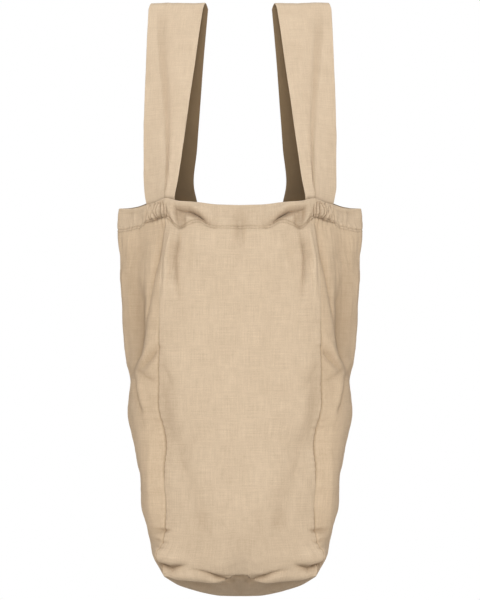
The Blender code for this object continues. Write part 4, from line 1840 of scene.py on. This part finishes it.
LAMPS = (
    Lamp("key_light", (0.0, -3.35, 0.45), 2.0, 88.0),
    Lamp("left_light", (-3.0, -0.9, -0.2), 1.6, 24.0, WARM),
    Lamp("right_light", (3.0, -0.9, -0.2), 1.6, 24.0, WARM),
    Lamp("back_light", (0.0, 3.5, 0.35), 2.0, 98.0),
    Lamp("top_light", (0.0, 0.0, 2.6), 0.8, 24.0),
)


@dataclass
class Studio:
    """Pale floor, soft frontal light and a camera square on to the front."""

    middle_height: float = -0.3694
    frame_height: float = 0.750
    distance: float = 16.0
    farthest: float = 50.0
    sensor: float = 36.0
    floor_level: float = -1.10
    floor_size: float = 5.2
    floor_colour: tuple = (0.60, 0.58, 0.55)
    surround_tint: tuple = (1.0, 0.88, 0.74)
    surround_strength: float = 0.22

    def build(self) -> None:
        """Set the floor, the camera, the lights and the world."""
        self.build_floor()
        self.build_camera()
        for lamp in LAMPS:
            self.build_light(lamp)
        self.build_world()
        bpy.context.scene.view_settings.view_transform = "Standard"

    def build_floor(self) -> None:
        """Lay the floor as one flat sheet of paper."""
        half = self.floor_size / 2
        mesh = bpy.data.meshes.new("studio_floor")
        corners = [(-half, -half), (half, -half), (half, half), (-half, half)]
        mesh.from_pydata([(x, y, self.floor_level) for x, y in corners], [], [(0, 1, 2, 3)])
        mesh.materials.append(PaperFinish("studio_paper", self.floor_colour).material())
        floor = bpy.data.objects.new("studio_floor", mesh)
        bpy.context.scene.collection.objects.link(floor)

    def build_camera(self) -> None:
        """Look along +Y with a long lens that frames the height of the photograph."""
        lens = bpy.data.cameras.new("studio_camera")
        lens.sensor_width = self.sensor
        lens.lens = self.sensor * self.distance / self.frame_height
        lens.clip_end = self.farthest
        camera = bpy.data.objects.new("studio_camera", lens)
        camera.location = (0.0, -self.distance, self.middle_height)
        camera.rotation_euler = (math.pi / 2, 0.0, 0.0)
        bpy.context.scene.collection.objects.link(camera)
        bpy.context.scene.camera = camera

    def build_light(self, lamp: Lamp) -> None:
        """Hang one light that faces the middle of the bag.

        Args:
            lamp: The light's row of the table.
        """
        light = bpy.data.lights.new(lamp.name, "AREA")
        light.color = lamp.tint
        light.size = lamp.size
        light.energy = lamp.power
        hung = bpy.data.objects.new(lamp.name, light)
        hung.location = lamp.place
        toward = np.array([0.0, 0.0, self.middle_height]) - np.array(lamp.place)
        tilt = math.atan2(math.hypot(toward[0], toward[1]), -toward[2])
        hung.rotation_euler = (tilt, 0.0, math.atan2(-toward[0], toward[1]))
        hung.visible_camera = False
        bpy.context.scene.collection.objects.link(hung)

    def build_world(self) -> None:
        """Set a surround that the camera sees as white, and that lights the bag only a little."""
        world = bpy.data.worlds.new("studio_surround")
        world.use_nodes = True
        seen = world.node_tree.nodes["Background"]
        writer = NodeWriter(world.node_tree)
        writer.feed(seen.inputs["Color"], WHITE)
        writer.feed(seen.inputs["Strength"], 1.0)
        lit = writer.add("ShaderNodeBackground", {
            "Color": self.surround_tint, "Strength": self.surround_strength})
        by_camera = writer.add("ShaderNodeLightPath", {}, "Is Camera Ray")
        blend = writer.add("ShaderNodeMixShader", {0: by_camera, 1: lit, 2: seen.outputs[0]})
        writer.feed(world.node_tree.nodes["World Output"].inputs["Surface"], blend)
        bpy.context.scene.world = world


FINISHES = {
    "face_linen": LinenFinish("face_linen_cloth", (0.748, 0.612, 0.457), (0.506, 0.396, 0.280),
                              (0.570, 0.455, 0.330)),
    # painted shade: the hem's reverse is dark brown, as the shaded inside of the bag
    "hem_linen": LinenFinish("hem_linen_cloth", (0.722, 0.590, 0.440), (0.496, 0.388, 0.275),
                             (0.247, 0.172, 0.098)),
    # painted shade: the side linen is the face linen a little darker and warmer, for the gussets
    "side_linen": LinenFinish("side_linen_cloth", (0.735, 0.590, 0.428), (0.520, 0.400, 0.275),
                              (0.560, 0.445, 0.320)),
    # painted shade: the straps' reverse is dark brown, as the shaded inner faces of the runs
    "strap_linen": LinenFinish("strap_linen_cloth", (0.768, 0.634, 0.480), (0.565, 0.447, 0.322),
                               (0.247, 0.172, 0.098)),
}

THREAD = ThreadFinish("hem_thread", (0.52, 0.40, 0.28))


def main() -> None:
    """Load the frame, build every piece in order and set the studio."""
    logging.basicConfig(level=logging.INFO)
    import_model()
    body = BagBody()
    finishes = {slot: finish.material() for slot, finish in FINISHES.items()}
    thread = THREAD.material()
    for piece in BodyPanels(body).build(finishes):
        LOG.info("built %s", piece.name)
    LOG.info("built %s", BasePanel(body).build(finishes).name)
    LOG.info("built %s", MouthHem(body).build(finishes).name)
    for side in Side:
        LOG.info("built %s", ShoulderStrap(body, side).build(finishes).name)
    LOG.info("built %s", Stitching(body).build(thread).name)
    Studio().build()


if __name__ == "__main__":
    main()
